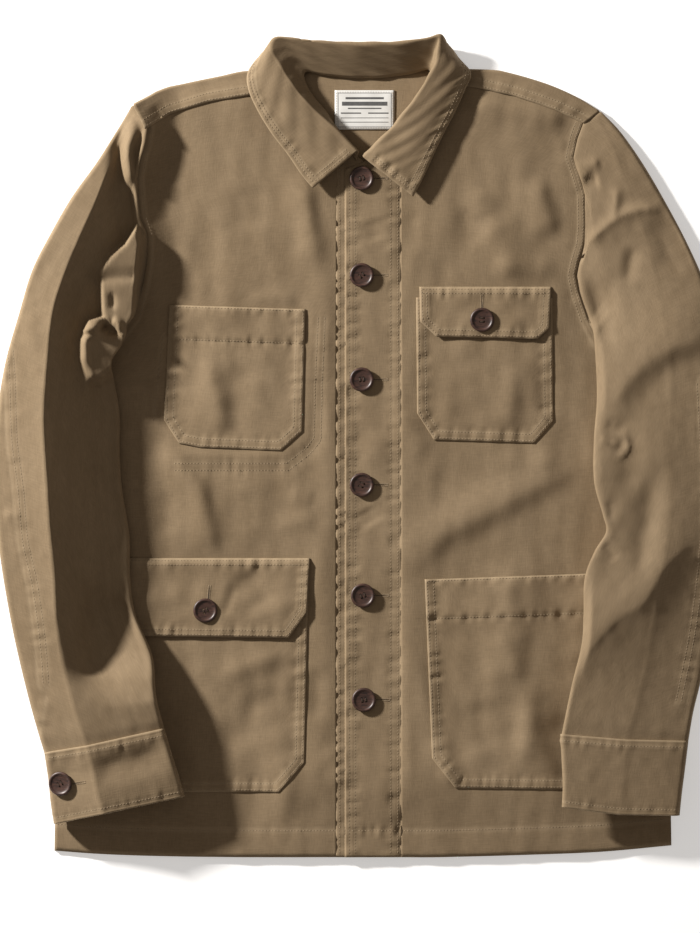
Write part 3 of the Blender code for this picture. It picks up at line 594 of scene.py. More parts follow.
part = np.linspace(0, 1, SHOULDER_PARTS + 1)
tops = [along(curve(line), part) for line in (RIGHT_SHOULDER, BACK_NECK, LEFT_SHOULDER)]
top = np.concatenate([tops[0], tops[1][1:], tops[2][1:]])
right = np.concatenate([RIGHT_EDGE, [RIGHT_SHOULDER[0]]])
left = np.concatenate([LEFT_EDGE, [LEFT_SHOULDER[-1]]])
sides = [along(edge, stepped(edge, BACK_STEP)) for edge in (right, left)]
plan = patch(along(curve(BACK_HEM), np.linspace(0, 1, len(top))), top, *sides)
flat = raised(plan, np.full(plan.shape[:2], CLOTH / 2))
seam = np.concatenate([along(RIGHT_YOKE_SEAM, part), tops[1][1:-1], along(LEFT_YOKE_SEAM, part)])
seam[:, 1] -= YOKE_LAP
seam_height = draped(*xy(seam)) + LAYER * YOKE_LIFT
shoulder_height = front_height(*xy(seam))
radius = (shoulder_height - CLOTH / 2) / 2
reach = np.minimum(radius, SHOULDER_REACH)
wrap = []
for angle in np.radians(SHOULDER_TURN):
    step = top.copy()
    step[:, 1] += reach * np.sin(angle)
    wrap.append(raised(step, CLOTH / 2 + radius * (1 - np.cos(angle))))
for share in YOKE_STRIP:
    step = top + (seam - top) * share
    height = shoulder_height + (seam_height - shoulder_height) * smooth(share)
    wrap.append(raised(step, height + 0.35 * rumple(*xy(step), 24, 8) * smooth(share * 3)))
points = np.concatenate([flat, np.array(wrap)])
from_seam = np.linalg.norm(points - points[-1:], axis=2)
on_strip = np.zeros(points.shape[:2])
on_strip[len(flat) + len(SHOULDER_TURN) // 2:] = 1
run, _ = cloth_lengths(points)
points[..., 2] += on_strip * stitched_edge(
    from_seam, run[-1:], YOKE_ROWS, YOKE_TURNING, 11, pucker=0.22, rise=0.3
)
back = cloth(
    "back_panel", ["back"], points, worn=on_strip * worn_edge(from_seam, YOKE_ROWS),
    drop=lambda row, column: row >= len(flat) - 1 and SHOULDER_PARTS <= column < 2 * SHOULDER_PARTS,
)
yoke_stitches = sew("stitches_yoke", back, [
    offset(along(seam_line, part) - (0, YOKE_LAP), distance)[1:-1]
    for seam_line in (RIGHT_YOKE_SEAM, LEFT_YOKE_SEAM) for distance in YOKE_ROWS
])
back_hem_stitches = sew(
    "stitches_back_hem", back, [offset(curve(BACK_HEM), BACK_HEM_DEPTH)], size=FLAT_THREAD, below=True
)


# ---- Neck label -------------------------------------------------------------------------------
# A white woven label, stitched flat to the inside of the back. It carries only a thin woven frame
# and a few ruled lines.

LABEL_CLOTH = 0.6
LABEL_X = (-26.5, 29.5)
LABEL_Y = (298.0, 335.0)
LABEL_HEM = 1.6
LABEL_LINES = [
    # left, right, height up the label and line width, as shares of its width and length
    (0.05, 0.95, 0.93, 0.012), (0.05, 0.95, 0.07, 0.012),
    (0.18, 0.82, 0.80, 0.05), (0.12, 0.88, 0.66, 0.10), (0.22, 0.78, 0.54, 0.03),
    (0.10, 0.44, 0.42, 0.03), (0.56, 0.90, 0.42, 0.03),
    (0.10, 0.90, 0.30, 0.015), (0.10, 0.90, 0.19, 0.015),
    (0.05, 0.058, 0.5, 0.86), (0.942, 0.95, 0.5, 0.86),
]
LABEL_PITCH = 2.4
LABEL_THREAD = (0.9, 0.22, 0.2)
INK_LIFT = 0.12
INK_THICKNESS = 0.16


def white_tape(tree, place):
    """Smooth white satin tape with a fine rib."""
    ribs = add(tree, "TexWave", {"Vector": place["Object"], "Scale": 420.0, "Distortion": 0.4},
               bands_direction="Y")
    soil = noise(tree, place["Object"], 70.0, 3.0)
    return {
        "Base Color": ramp(tree, soil, (0, (0.66, 0.65, 0.62)), (1, (0.84, 0.84, 0.82))),
        "Normal": bump(tree, ribs.outputs["Fac"], 0.3, 0.0002), "Roughness": 0.5,
    }


plan = np.stack(np.meshgrid(np.linspace(*LABEL_X, 29), np.linspace(*LABEL_Y, 19)), axis=-1)
x, y = xy(plan)
inset = np.minimum.reduce([x - LABEL_X[0], LABEL_X[1] - x, y - LABEL_Y[0], LABEL_Y[1] - y])
height = CLOTH + AIR + LABEL_CLOTH / 2 + 0.25 * smooth(inset / 6) + 0.12 * rumple(x, y, 22, 21)
label = cloth("label_tape", ["neck_label"], raised(plan, height), LABEL_CLOTH,
              finish=material("white_tape", white_tape))
found = surface(label)
mesh = bmesh.new()
label_width, label_length = LABEL_X[1] - LABEL_X[0], LABEL_Y[1] - LABEL_Y[0]
for start, end, middle, line_width in LABEL_LINES:
    steps = max(2, int((end - start) * 24))
    bar = bmesh.ops.create_grid(mesh, x_segments=steps, y_segments=4, size=0.5)["verts"]
    for vertex in bar:
        x = LABEL_X[0] + label_width * (start + (vertex.co.x + 0.5) * (end - start))
        y = LABEL_Y[0] + label_length * (middle + vertex.co.y * line_width)
        hit = found.ray_cast(Vector((x * MM, y * MM, 1)), DOWN)[0]
        vertex.co = (x * MM, y * MM, hit.z + INK_LIFT * MM)
bmesh.ops.solidify(mesh, geom=mesh.faces, thickness=INK_THICKNESS * MM)
ink = thread("charcoal_weft", (0.11, 0.11, 0.11))
ruling = placed("label_ruling", finished(bpy.data.meshes.new("label_ruling"), mesh, ink, False))
x0, x1 = LABEL_X[0] + LABEL_HEM, LABEL_X[1] - LABEL_HEM
y0, y1 = LABEL_Y[0] + LABEL_HEM, LABEL_Y[1] - LABEL_HEM
label_round = [(x0, y0), (x1, y0), (x1, y1), (x0, y1), (x0, y0)]
label_stitches = sew("stitches_label", label, [label_round], pitch=LABEL_PITCH, size=LABEL_THREAD)


# ---- Fronts -----------------------------------------------------------------------------------
# Two panels from side seam and armhole to the front bands, felled to the sleeves and the back, with
# a double hem. The stitches of an inner pocket come through the right one, beside its chest pocket.

RIGHT_HEM = [(-290, -380), (-247, -383), (-191, -385), (-116, HEM_Y), (-24, HEM_Y)]
LEFT_HEM = [(35, HEM_Y), (72, HEM_Y), (148, -384), (223, -381), (290, -375)]
RIGHT_NECK = [(-24, 297), (-32, 308), (-41, 319), (-50, 329), (-59, 339)]
LEFT_NECK = [(35, 295), (45, 305), (54, 316), (63, 330), (69, 345)]
HEM_DEPTH = 25
FRONT_STEP = 4.2
FRONT_COLUMNS = 92
INNER_POCKET = [(-42, 122), (-45, 60), (-46, 8), (-54, -2), (-72, -16), (-178, -16)]
INNER_POCKET_SIDE = [(-188, 105), (-193, 62), (-197, 24)]
# How an inner pocket's stitches show: groove, puckers and pale line, each with its width.
INNER_GROOVE, INNER_GROOVE_WIDTH = 0.6, 1.7
INNER_PUCKER, INNER_PUCKER_WIDTH = 0.4, 5
INNER_WORN, INNER_WORN_WIDTH = 0.6, 1.4
INNER_RIPPLE = 8
ARMHOLE_ROWS = (2.5, 7)
ARMHOLE_TURNING = 8
ARMHOLE_DIP = 3.2
ARMHOLE_DIP_WIDTH = 6
LOOSE_ARMHOLE_Y = 138
LOOSE_ARMHOLE_EASE = 20


def front_panel(name, node, hem, edge, armhole, neck, yoke_seam, mirrored, more_lines, seed, dip):
    """One front, with the relief of its hem and armhole seams and of any more stitch lines through it."""
    rows = stepped(edge, FRONT_STEP)
    columns = np.linspace(0, 1, FRONT_COLUMNS + 1)
    centre = np.concatenate([[hem[0] if mirrored else hem[-1]], curve(neck)])
    sides = [along(edge, rows), along(centre, rows)]
    hem_line = curve(hem)
    plan = patch(along(hem_line, columns), along(yoke_seam, columns), *(sides[::-1] if mirrored else sides))
    x, y = xy(plan)
    from_hem = y - np.interp(x, hem_line[:, 0], hem_line[:, 1])
    height = draped(x, y)
    height += stitched_edge(from_hem, x, (HEM_DEPTH,), HEM_DEPTH, seed, pucker=0.22, rise=0.35)
    worn = worn_edge(from_hem, (HEM_DEPTH,))
    away, run, _ = near(x, y, armhole)
    height += stitched_edge(away, run, ARMHOLE_ROWS, ARMHOLE_TURNING, seed + 1, pucker=0.3, rise=0.35)
    dipped = 1 - smooth(away / ARMHOLE_DIP_WIDTH)
    height -= dip * dipped * smooth((y - LOOSE_ARMHOLE_Y) / LOOSE_ARMHOLE_EASE)
    worn = np.maximum(worn, worn_edge(away, ARMHOLE_ROWS) * smooth(away / 3))
    for line in more_lines:
        away, run, _ = near(x, y, line)
        pucker = INNER_PUCKER * ripples(run, INNER_RIPPLE, seed + 2) * bell(away, INNER_PUCKER_WIDTH)
        height += pucker - INNER_GROOVE * bell(away, INNER_GROOVE_WIDTH)
        worn = np.maximum(worn, INNER_WORN * bell(away, INNER_WORN_WIDTH))
    return cloth(name, [node], raised(plan, height), worn=worn)


inner_pocket_lines = [INNER_POCKET, offset(INNER_POCKET, 6.5), INNER_POCKET_SIDE]
front_right = front_panel("front_panel_right", "front_right", RIGHT_HEM, RIGHT_EDGE, RIGHT_ARMHOLE,
                          RIGHT_NECK, RIGHT_YOKE_SEAM, False, inner_pocket_lines, 31, ARMHOLE_DIP)
front_left = front_panel("front_panel_left", "front_left", LEFT_HEM, LEFT_EDGE, LEFT_ARMHOLE,
                         LEFT_NECK, LEFT_YOKE_SEAM, True, [], 41, 0)
right_front_stitches = sew("stitches_front_right", front_right, [
    offset(curve(RIGHT_HEM), HEM_DEPTH), *inner_pocket_lines,
    *(offset(RIGHT_ARMHOLE[4:], -row) for row in ARMHOLE_ROWS),
])
left_front_stitches = sew("stitches_front_left", front_left, [
    offset(curve(LEFT_HEM), HEM_DEPTH), *(offset(LEFT_ARMHOLE[4:], row) for row in ARMHOLE_ROWS),
])


# ---- Front bands ------------------------------------------------------------------------------
# Straight facings down both front edges, turned and topstitched twice on each side. The left one
# laps over the right one and carries the buttonholes.

RIGHT_BAND_X = (-26, 20)
LEFT_BAND_X = (-17, 36.5)
RIGHT_BAND_TOP = [(-26, 299.5), (-16, 287), (-8, 276), (4, 266), (20, 260)]
LEFT_BAND_TOP = [(-17, 261), (-5, 265), (8, 272), (22, 282), (36.5, 296.5)]
BAND_STEP = 2.4
BAND_CLOTH = 0.9
BAND_LAYER = 0.75
UNDER_LAYER = 0.1
BAND_TURNINGS = (11, 10)
BAND_STITCH_START = HEM_Y + 3


def over_right_band(x):
    """The left band lies on the right one and comes down to its own front beyond it."""
    clear = RIGHT_BAND_X[1] + 1
    return BAND_LAYER + (UNDER_LAYER - BAND_LAYER) * smooth((x - clear) / (LEFT_BAND_X[1] - clear))


def front_band(name, node, limits, top, layer, spacing, seed, sides):
    """A long band with stitch rows beside one or both of its edges."""
    start, end = limits
    across = np.linspace(start, end, int((end - start) / spacing) + 1)
    top_y = np.interp(across, *curve(top).T)
    upwards = np.linspace(0, 1, int((top_y.max() - HEM_Y) / BAND_STEP) + 1)[:, None]
    x, y = np.broadcast_arrays(across, HEM_Y + upwards * (top_y - HEM_Y))
    height = draped(x, y, layer(x))
    worn = np.zeros(x.shape)
    edges = [
        (x - start, y, sides[0], BAND_TURNINGS[0]), (end - x, y, sides[1], BAND_TURNINGS[1]),
        (y - HEM_Y, x, (HEM_DEPTH,), HEM_DEPTH),
    ]
    for number, (away, run, rows, width) in enumerate(edges):
        if rows:
            height += stitched_edge(away, run, rows, width, seed + number, pucker=0.5, rise=0.3)
            worn = np.maximum(worn, 0.55 * worn_edge(away, rows))
    return cloth(name, [node], raised(np.stack([x, y], axis=-1), height), BAND_CLOTH, worn)


def down(x, y_top):
    """A straight line of stitches from the hem up."""
    return [(x, BAND_STITCH_START), (x, y_top)]


band_right = front_band("band_under", "band_right", RIGHT_BAND_X, RIGHT_BAND_TOP, lambda x: UNDER_LAYER,
                        2.2, 51, [(1.5, 6.5), ()])
band_left = front_band("band_over", "band_left", LEFT_BAND_X, LEFT_BAND_TOP, over_right_band,
                       1.5, 61, [(4.2, 9.8), (1.8, 8.6)])
under_stitches = sew("stitches_band_under", band_right, [down(-22, 292), down(-17, 286)])
over_stitches = sew("stitches_band_over", band_left, [
    down(-12.8, 258), down(-7.2, 261), down(32.7, 290), down(25.9, 284),
    [(-14, HEM_Y + HEM_DEPTH), (32, HEM_Y + HEM_DEPTH)],
])


# ---- Patch pockets and flaps ------------------------------------------------------------------
# Cut-cornered patches with their edges turned in, topstitched twice, and a turned hem along the
# mouth. Two of them have a flap over it.

PATCH_CLOTH = 0.9
POCKET_LAYER = 0.7
FLAP_LAYER = 1.25
POCKET_SPACING = 1.8
POCKET_ROWS = (2.2, 8.2)
POCKET_TURNING = 9.5
POCKETS = {
    "chest_pocket_right": ([(-187, 25), (-173, 3), (-153, -1), (-77, -4), (-57, 14)],
                           [(-182, 133), (-54, 129)]),
    "chest_pocket_left": ([(51, 31), (67, 6), (161, 3), (179, 24)], [(50, 140), (178, 140)]),
    "lower_pocket_right": ([(-241, -298), (-215, -325), (-79, -325), (-55, -297)],
                           [(-243, -116), (-51, -116)]),
    "lower_pocket_left": ([(65, -293), (87, -321), (228, -323), (252, -295)], [(58, -125), (253, -118)]),
}
FLAPS = {
    "chest_flap_left": ([(54, 117), (69, 103), (164, 101), (175, 111)], [(53, 150), (177, 150)]),
    "lower_flap_right": ([(-243, -156), (-225, -178), (-70, -180), (-53, -156)], [(-244, -105), (-50, -105)]),
}
FLAP_STEP = 6
FLAP_ROWS = (2.2, 6.6)
FLAP_TOP_ROWS = (2.2, 6.2)
MOUTH_ROW = 1.6
MOUTH_HEM = {"chest_pocket_right": 32, "lower_pocket_left": 37}
POCKET_BULGE = 0.9


def corners_kept(line, count):
    """A line divided into this many steps, with a point on each of its corners."""
    line = np.asarray(line, float)
    lengths = np.linalg.norm(np.diff(line, axis=0), axis=1)
    parts = np.ones(len(lengths), int)
    while parts.sum() < count:
        parts[(lengths / parts).argmax()] += 1
    steps = [a + (b - a) * np.arange(n)[:, None] / n for a, b, n in zip(line, line[1:], parts)]
    return np.concatenate([*steps, line[-1:]])


def patch_piece(node, shape, layer, relief, seed, rows=POCKET_ROWS, top_rows=()):
    """A pocket or flap, with turned edges on its sides and bottom, and rows of its own along the top."""
    bottom, top = shape
    (x0, y0), (x1, y1) = top
    columns = int((x1 - x0) / POCKET_SPACING)
    upwards = np.linspace(0, 1, int((y0 - bottom[0][1]) / POCKET_SPACING) + 2)
    sides = [along([bottom[end], top[end]], upwards) for end in (0, -1)]
    plan = patch(corners_kept(bottom, columns), along(top, np.linspace(0, 1, columns + 1)), *sides)
    x, y = xy(plan)
    outline = [top[0], *bottom, top[-1]]
    away, run, _ = near(x, y, outline)
    from_top = np.interp(x, (x0, x1), (y0, y1)) - y
    height = draped(x, y, layer(from_top)) + relief(x, y, away, from_top)
    height += stitched_edge(away, run, rows, POCKET_TURNING, seed)
    worn = worn_edge(away, rows)
    if top_rows:
        height += stitched_edge(from_top, x, top_rows, max(top_rows), seed + 1)
        worn = np.maximum(worn, worn_edge(from_top, top_rows))
    made = cloth(node + "_patch", [node], raised(plan, height), PATCH_CLOTH, worn)
    lines = [offset(outline, row) for row in rows]
    for line in lines:
        line[0, 1], line[-1, 1] = y0 - 1, y1 - 1
    lines += [[(x0 + 2, y0 - row), (x1 - 2, y1 - row)] for row in top_rows]
    stitches = sew(f"stitches_{node}_patch", made, lines)
    return made


def pocket_bulge(x, y, away, from_top):
    """A pocket's slack: it stands a little off the front in the middle, with soft cockles."""
    return POCKET_BULGE * smooth((away - 6) / 40) + 0.35 * rumple(x, y, 30, 71) * smooth(away / 20)


def mouth(depth):
    """A pocket's slack with the step of its turned mouth hem."""
    def relief(x, y, away, from_top):
        step = 0.4 * smooth((depth + 1 - from_top) / 2)
        return pocket_bulge(x, y, away, from_top) + step - 0.25 * bell(from_top - depth, 1.4)
    return relief


def flap_over(below):
    """A flap is sewn down along its top and lies on its pocket below."""
    return POCKET_LAYER + FLAP_LAYER * smooth(below / FLAP_STEP)


def flap_relief(x, y, away, from_top):
    """A flap's slack, with its free edge lifting a little off the pocket."""
    lift = 1.3 * smooth((from_top - 18) / 24)
    return lift + 0.5 * smooth((away - 5) / 16) + 0.25 * rumple(x, y, 26, 77)


pocket_pieces = {}
for number, (node, shape) in enumerate(POCKETS.items()):
    depth = MOUTH_HEM.get(node)
    pocket_pieces[node] = patch_piece(
        node, shape, lambda below: POCKET_LAYER, mouth(depth) if depth else pocket_bulge,
        100 + 10 * number, top_rows=(MOUTH_ROW, depth) if depth else (),
    )
for number, (node, shape) in enumerate(FLAPS.items()):
    pocket_pieces[node] = patch_piece(
        node, shape, flap_over, flap_relief, 150 + 10 * number, FLAP_ROWS, FLAP_TOP_ROWS
    )


# ---- Sleeves ----------------------------------------------------------------------------------
# Two tubes of twill with a felled seam along the outer strip, lying loosely over the sides of the
# body. Each has a ridge where it was pressed flat, and slack that gathers towards the armhole.

RIGHT_SLEEVE = [
    # outer x, y, ridge x, y, inner x, y, ridge height, lift
    (-216, 320, -212, 313.8, -205, 199, 8, 0),
    (-230, 297, -227, 290, -208, 177, 17, 0),
    (-249, 266, -239, 260, -211, 152, 27, 0),
    (-272, 233, -251, 228, -217, 121, 37, 0),
    (-292, 198, -266, 194, -227, 95, 42, 0),
    (-309, 164, -279, 162, -236, 79, 43.5, 0),
    (-321, 124, -290, 126, -233, 55, 46.5, 0),
    (-334, 77, -295, 79, -229, 30, 50, 0),
    (-342, 25, -298, 25, -229, -3, 52.5, 0),
    (-344, -27, -295, -30, -227, -38, 53.5, 0),
    (-342, -74, -292, -78, -220, -83, 53, 0),
    (-337, -116, -288, -121, -219, -124, 50.5, 0),
    (-329, -163, -286, -163, -214, -158, 46.5, 0),
    (-321, -201, -281, -199, -198, -196, 43, 0),
    (-310, -245, -270, -243, -194, -234, 42, 0),
    (-297, -290, -257, -283, -186, -267, 40.5, 0),
]
LEFT_SLEEVE = [
    (223, 315, 219, 312.3, 208.8, 199, 7, 0),
    (242, 295, 234, 284, 209, 181, 7, 0),
    (263, 265, 246, 250, 205, 166, 7.5, 0),
    (284, 229, 258, 218, 207, 142, 8.5, 0),
    (304, 191, 270, 180, 216, 114, 10, 0),
    (321, 152, 279, 138, 219, 81, 12.5, 0),
    (333, 110, 287, 91, 220, 44, 17, 0),
    (340, 63, 289, 44, 217, 6, 22, 0),
    (343, 16, 287, -3, 217, -33, 26, 0),
    (343, -31, 287, -50, 225, -64, 28, 0),
    (340, -74, 286, -79, 228, -80, 28, 0),
    (336, -111, 281, -109, 217, -99, 28, 0),
    (330, -149, 275, -144, 208, -124, 27, 0),
    (323, -187, 270, -177, 207, -158, 27, 0),
    (316, -221, 265, -205, 205, -187, 27, 2),
    (309, -250, 257, -238, 196, -224, 27, 4),
    (304, -280, 246, -278, 186, -273, 27, 6),
]
RIGHT_CUFF = [
    (-297.6, -286.5, -257.6, -279.5, -187, -263.8, 41, 0),
    (-294, -312, -252, -304, -179, -291, 39.5, 0),
    (-292, -333, -248, -325, -173, -310, 38, 0),
    (-289, -354, -243, -344, -168, -328, 36, 0),
]
LEFT_CUFF = [
    (304.4, -276, 246.2, -274.5, 185.8, -269.5, 27, 6),
    (301, -303, 245, -301, 187, -295, 27, 8),
    (298, -326, 243, -323, 188, -318, 27, 10),
    (296, -346, 240, -345, 187, -338, 27, 12),
]
BILLOWS = [
    # outline, its sides along X, its heights at these sides, softness of its borders
    ([(-248, 164), (-238, 178), (-224, 190), (-212, 207), (-208, 196), (-211, 166), (-214, 124),
      (-223, 100), (-236, 107), (-245, 126), (-246, 150)], (-245, -210), (31, 26), 6),
    ([(-262, 106), (-257, 118), (-244, 122), (-230, 120), (-228, 115), (-243, 114), (-253, 107)],
     (-257, -232), (34, 26), 5),
    ([(-262, 100), (-252, 110), (-238, 113), (-226, 112), (-216, 109), (-212, 99), (-219, 88),
      (-228, 77), (-236, 68), (-246, 60), (-256, 62), (-262, 82)], (-260, -226), (37.5, 27), 10),
]
SLEEVE_CREASES = [
    # width to the left and right of the line, height, taper, line
    # wearer's right sleeve: dimples of the billows, the curl below them, the pinch at the shoulder
    (3, 4, -2.4, 0.3, [(-237, 145), (-234, 136), (-236, 126)]),
    (7, 5, -3.2, 0, [(-252, 158), (-230, 159), (-204, 160)]),
    (6, 6, -7, 0.3, [(-250, 112), (-238, 110), (-228, 112)]),
    (6, 4.5, 7.5, 0.2, [(-256, 44), (-261, 72), (-262, 94), (-256, 108), (-246, 113), (-236, 117)]),
    (3.5, 5, -4.5, 0.3, [(-243, 109), (-234, 107), (-227, 111)]),
    (4, 4, 5, 0.3, [(-236, 118), (-229, 114), (-227, 106)]),
    (5.5, 7, 11, 0.28, [(-217, 314), (-215, 296), (-220, 278), (-218, 258), (-214, 232)]),
    (7, 6, -6, 0.35, [(-224, 304), (-229, 276), (-234, 240), (-240, 216)]),
    (4, 6, 1.6, 0.3, [(-336, -68), (-328, -64), (-318, -66)]),
    (7, 9, 1.2, 0.3, [(-314, 128), (-308, 104), (-312, 84)]),
    (30, 18, -13, 0.3, [(-248, -118), (-248, -160), (-249, -198), (-264, -234)]),
    (5, 4, 3, 0.3, [(-230, -136), (-222, -144), (-214, -150)]),
    (11, 15, -3.6, 0.3, [(-262, -306), (-235, -299), (-205, -291), (-176, -284)]),
    # wearer's left sleeve: the hollow below its shoulder, the curl at its elbow, hollows down to the cuff
    (6, 7, -3, 0.3, [(208, 254), (214, 250), (222, 252)]),
    (7, 6, -2, 0.3, [(256, 190), (251, 172), (249, 152)]),
    (16, 10, -1.8, 0.3, [(276, 216), (286, 190), (292, 158)]),
    (40, 13, 6.4, 0.3, [(230, 16), (233, 34), (240, 52), (253, 68), (268, 82), (289, 94), (317, 101),
                        (345, 104)]),
    (8, 12, -1.8, 0.35, [(228, 160), (233, 132), (232, 104)]),
    (2.5, 3, 1.5, 0.3, [(220, 10), (232, 2), (242, 5)]),
    (6, 5, -1.2, 0.3, [(226, 22), (236, 18), (246, 12)]),
    (12, 12, -4, 0.35, [(276, -8), (269, -50), (261, -104), (257, -140)]),
    (14, 12, -3, 0.3, [(244, 34), (248, -10), (250, -52)]),
    (10, 10, -2.6, 0.3, [(212, 166), (218, 146), (224, 124), (226, 106), (221, 88)]),
    (5, 5, -1.2, 0.3, [(228, -50), (232, -60), (226, -70)]),
    (5, 5, -1.2, 0.3, [(222, -90), (230, -97), (238, -108)]),
]
SLEEVE_CRESTS = [
    # width of the soft side, length of the drop, height, taper, line
    (5, 6, 3, 0.25, [(196, 264), (205, 262), (214, 264), (224, 268)]),
    (6, 8, 3.4, 0.2, [(208, 187), (220, 198), (234, 210), (248, 218), (266, 222), (284, 221)]),
    (5, 5, 2, 0.3, [(238, 246), (237, 228), (234, 212)]),
    (5, 3, 2.6, 0.3, [(234, -14), (242, -10), (249, -1), (247, 8), (240, 12), (230, 10)]),
    (38, 30, 9, 0.3, [(200, -226), (212, -192), (236, -163), (262, -146), (279, -118), (302, -95),
                      (340, -84)]),
]
SLEEVE_COCKLE = [(0.4, 70, 5, 2.4), (0.1, 15, 6, 1.5)]
EDGE_ROLL = 3.5
OUTER_ROUND = 0.8
SHOULDER_RISE = 0.06
SHOULDER_ROUND = 0.6
FOLDS_FROM_EDGE = 0.12
REST_AIR = 1.0
FLOOR_AIR = 0.1
POCKET_MARGIN = 10
POCKET_EASE = 30
BODY_MARGIN = 14
BODY_RAMP = 18
LOOSE_FROM_Y = 120
LOOSE_EASE = 14
ARMHOLE_BLEND = 0.24
TUCK = 2.2
TUCK_DROP = 1.0
BACK_SEWN = LAYER + CLOTH / 2 + TUCK_DROP
SEWN_RIM = 0.3
OUTER_STRIP = np.linspace(0, 1, 25)[:-1] ** 1.25
INNER_STRIP = 1 - np.linspace(1, 0, 42) ** 1.15
UNDER_STRIP = np.linspace(0, 1, 16)
WALL_STEPS = (0.2, 0.4, 0.6, 0.8, 0.93)
WALL_INSET = 0.7
SLEEVE_ROWS = np.concatenate([[0, 0.004, 0.008, 0.014, 0.02, 0.028], np.linspace(0.036, 1, 205)])


def outside_edge(edge, side, x, y):
    """How far a point lies beyond one side seam and armhole, and far away on the other half."""
    beside = side * (x - edge_x(edge, y))
    bottom = edge[len(RIGHT_SIDE) - 1:][:6]
    under_arm = np.interp(-side * x, -side * bottom[:, 0], bottom[:, 1])
    corner = np.hypot(np.maximum(side * (x - bottom[0, 0]), 0), np.maximum(y - under_arm, 0))
    return np.where(side * x > 0, np.minimum(beside, corner), np.inf)


def pocket_rise(x, y, bottom, top):
    """How much of a pocket's layer lies under this point, easing off around it."""
    corners = np.array(bottom + top, float)
    low, high = corners.min(axis=0) - POCKET_MARGIN, corners.max(axis=0) + POCKET_MARGIN
    outside = np.maximum.reduce([low[0] - x, x - high[0], low[1] - y, y - high[1]])
    return np.clip(1 - outside / POCKET_EASE, 0, 1)


def past_armhole(y):
    """0 where a sleeve is still sewn to its armhole, 1 where it lies loose on the front."""
    return np.clip((LOOSE_FROM_Y - y) / LOOSE_EASE, 0, 1)


def rest_height(x, y):
    """Top of what lies under a sleeve: the floor beside the body, or the fronts and their pockets."""
    outside = np.minimum(outside_edge(RIGHT_EDGE, -1, x, y), outside_edge(LEFT_EDGE, 1, x, y))
    on_body = np.clip(1 - (outside - BODY_MARGIN) / BODY_RAMP, 0, 1) * past_armhole(y)
    under = (POCKETS["lower_pocket_right"], FLAPS["lower_flap_right"], POCKETS["lower_pocket_left"])
    layers = sum(pocket_rise(x, y, *shape) for shape in under)
    return np.maximum(on_body * (draped(x, y, layers) + CLOTH / 2 + REST_AIR), FLOOR_AIR)


def sleeve_sections(table, rows):
    """Outer edge, ridge, inner edge, ridge height and lift at these fractions of a sleeve's length."""
    return np.split(between(table, rows * (len(table) - 1)), (2, 4, 6, 7), axis=1)


def sleeve_plan(table, rows, armhole=None):
    """Plan points across a sleeve, with the first rows drawn to its armhole."""
    edge, ridge, inside, _, _ = sleeve_sections(table, rows)
    outer_part = edge[:, None] + (ridge - edge)[:, None] * OUTER_STRIP[:, None]
    inner = np.broadcast_to(INNER_STRIP, (len(edge), len(INNER_STRIP)))
    bulge = 0
    if armhole is not None:
        (ridge_x, ridge_y), (inside_x, inside_y) = ridge[0], inside[0]
        visible = armhole[(armhole[:, 1] > inside_y) & (armhole[:, 1] < ridge_y)][::-1]
        seam = corners_kept([ridge[0], *visible, inside[0]], len(INNER_STRIP) - 1)
        fade = np.clip(1 - rows / ARMHOLE_BLEND, 0, 1)[:, None] ** 2
        share = (ridge_y - seam[:, 1]) / (ridge_y - inside_y)
        inner = inner + fade * (share - inner)
        bulge = fade * (seam[:, 0] - ridge_x - (inside_x - ridge_x) * share)
    inner_part = ridge[:, None] + (inside - ridge)[:, None] * inner[..., None]
    inner_part[..., 0] += bulge
    plan = np.concatenate([outer_part, inner_part], axis=1)
    if armhole is not None:
        x, y = xy(plan[:, -1])
        plan[:, -1, 0] += (1 - past_armhole(y)) * (edge_x(armhole, y) - x)
    return plan


def rolled(distance, radius):
    """Rise of an edge rolled over to this radius."""
    inwards = np.clip(distance / radius, 0, 1)
    return radius * np.sqrt(1 - (1 - inwards) ** 2)


def sleeve_heights(table, rows, plan, thickness, shape):
    """Middle of the upper wall: folded at both edges, and rising on to the ridge between them."""
    places, *courses, rim_height, sewn_rise = shape
    steepness, outer_level, inner_level, rim_width = (
        np.interp(rows, places, course)[:, None] for course in courses
    )
    edge, ridge, inside, top, lift = sleeve_sections(table, rows)
    x, y = xy(plan)
    foot = rest_height(x, y) + thickness / 2 + lift
    outer_width, inner_width = (np.linalg.norm(ridge - end, axis=1)[:, None] for end in (edge, inside))
    roll = np.minimum(EDGE_ROLL, outer_width / 3)
    share = outer_level + (1 - outer_level) * (1 - (1 - OUTER_STRIP) ** OUTER_ROUND)
    outer = foot[:, :1] + rolled(OUTER_STRIP * outer_width, roll) + (top - foot[:, :1] - roll) * share
    loose = past_armhole(y[:, -1:])
    inner_foot = np.maximum(foot[:, -1:], (loose < 1) * front_height(x[:, -1:], y[:, -1:]))
    rim = rim_height * (SEWN_RIM + (1 - SEWN_RIM) * loose)
    from_fold = 1 - INNER_STRIP
    level = inner_level * (loose + (1 - loose) * smooth(from_fold * inner_width / sewn_rise))
    share = level + (1 - inner_level) * from_fold**steepness
    curled = rolled(from_fold * inner_width, rim_width) * rim / rim_width
    inner = inner_foot + curled + (top - inner_foot - rim) * share
    heights = billowed(x, y, np.concatenate([outer, inner], axis=1))
    folds = creases(x, y, SLEEVE_CREASES) + creases(x, y, SLEEVE_CRESTS, right_power=1)
    folds += cockled(x, y, SLEEVE_COCKLE)
    from_edges = np.concatenate([OUTER_STRIP, from_fold])
    folded = heights + smooth(from_edges / FOLDS_FROM_EDGE) * folds
    return np.maximum(folded, np.minimum(heights, foot + LAYER))


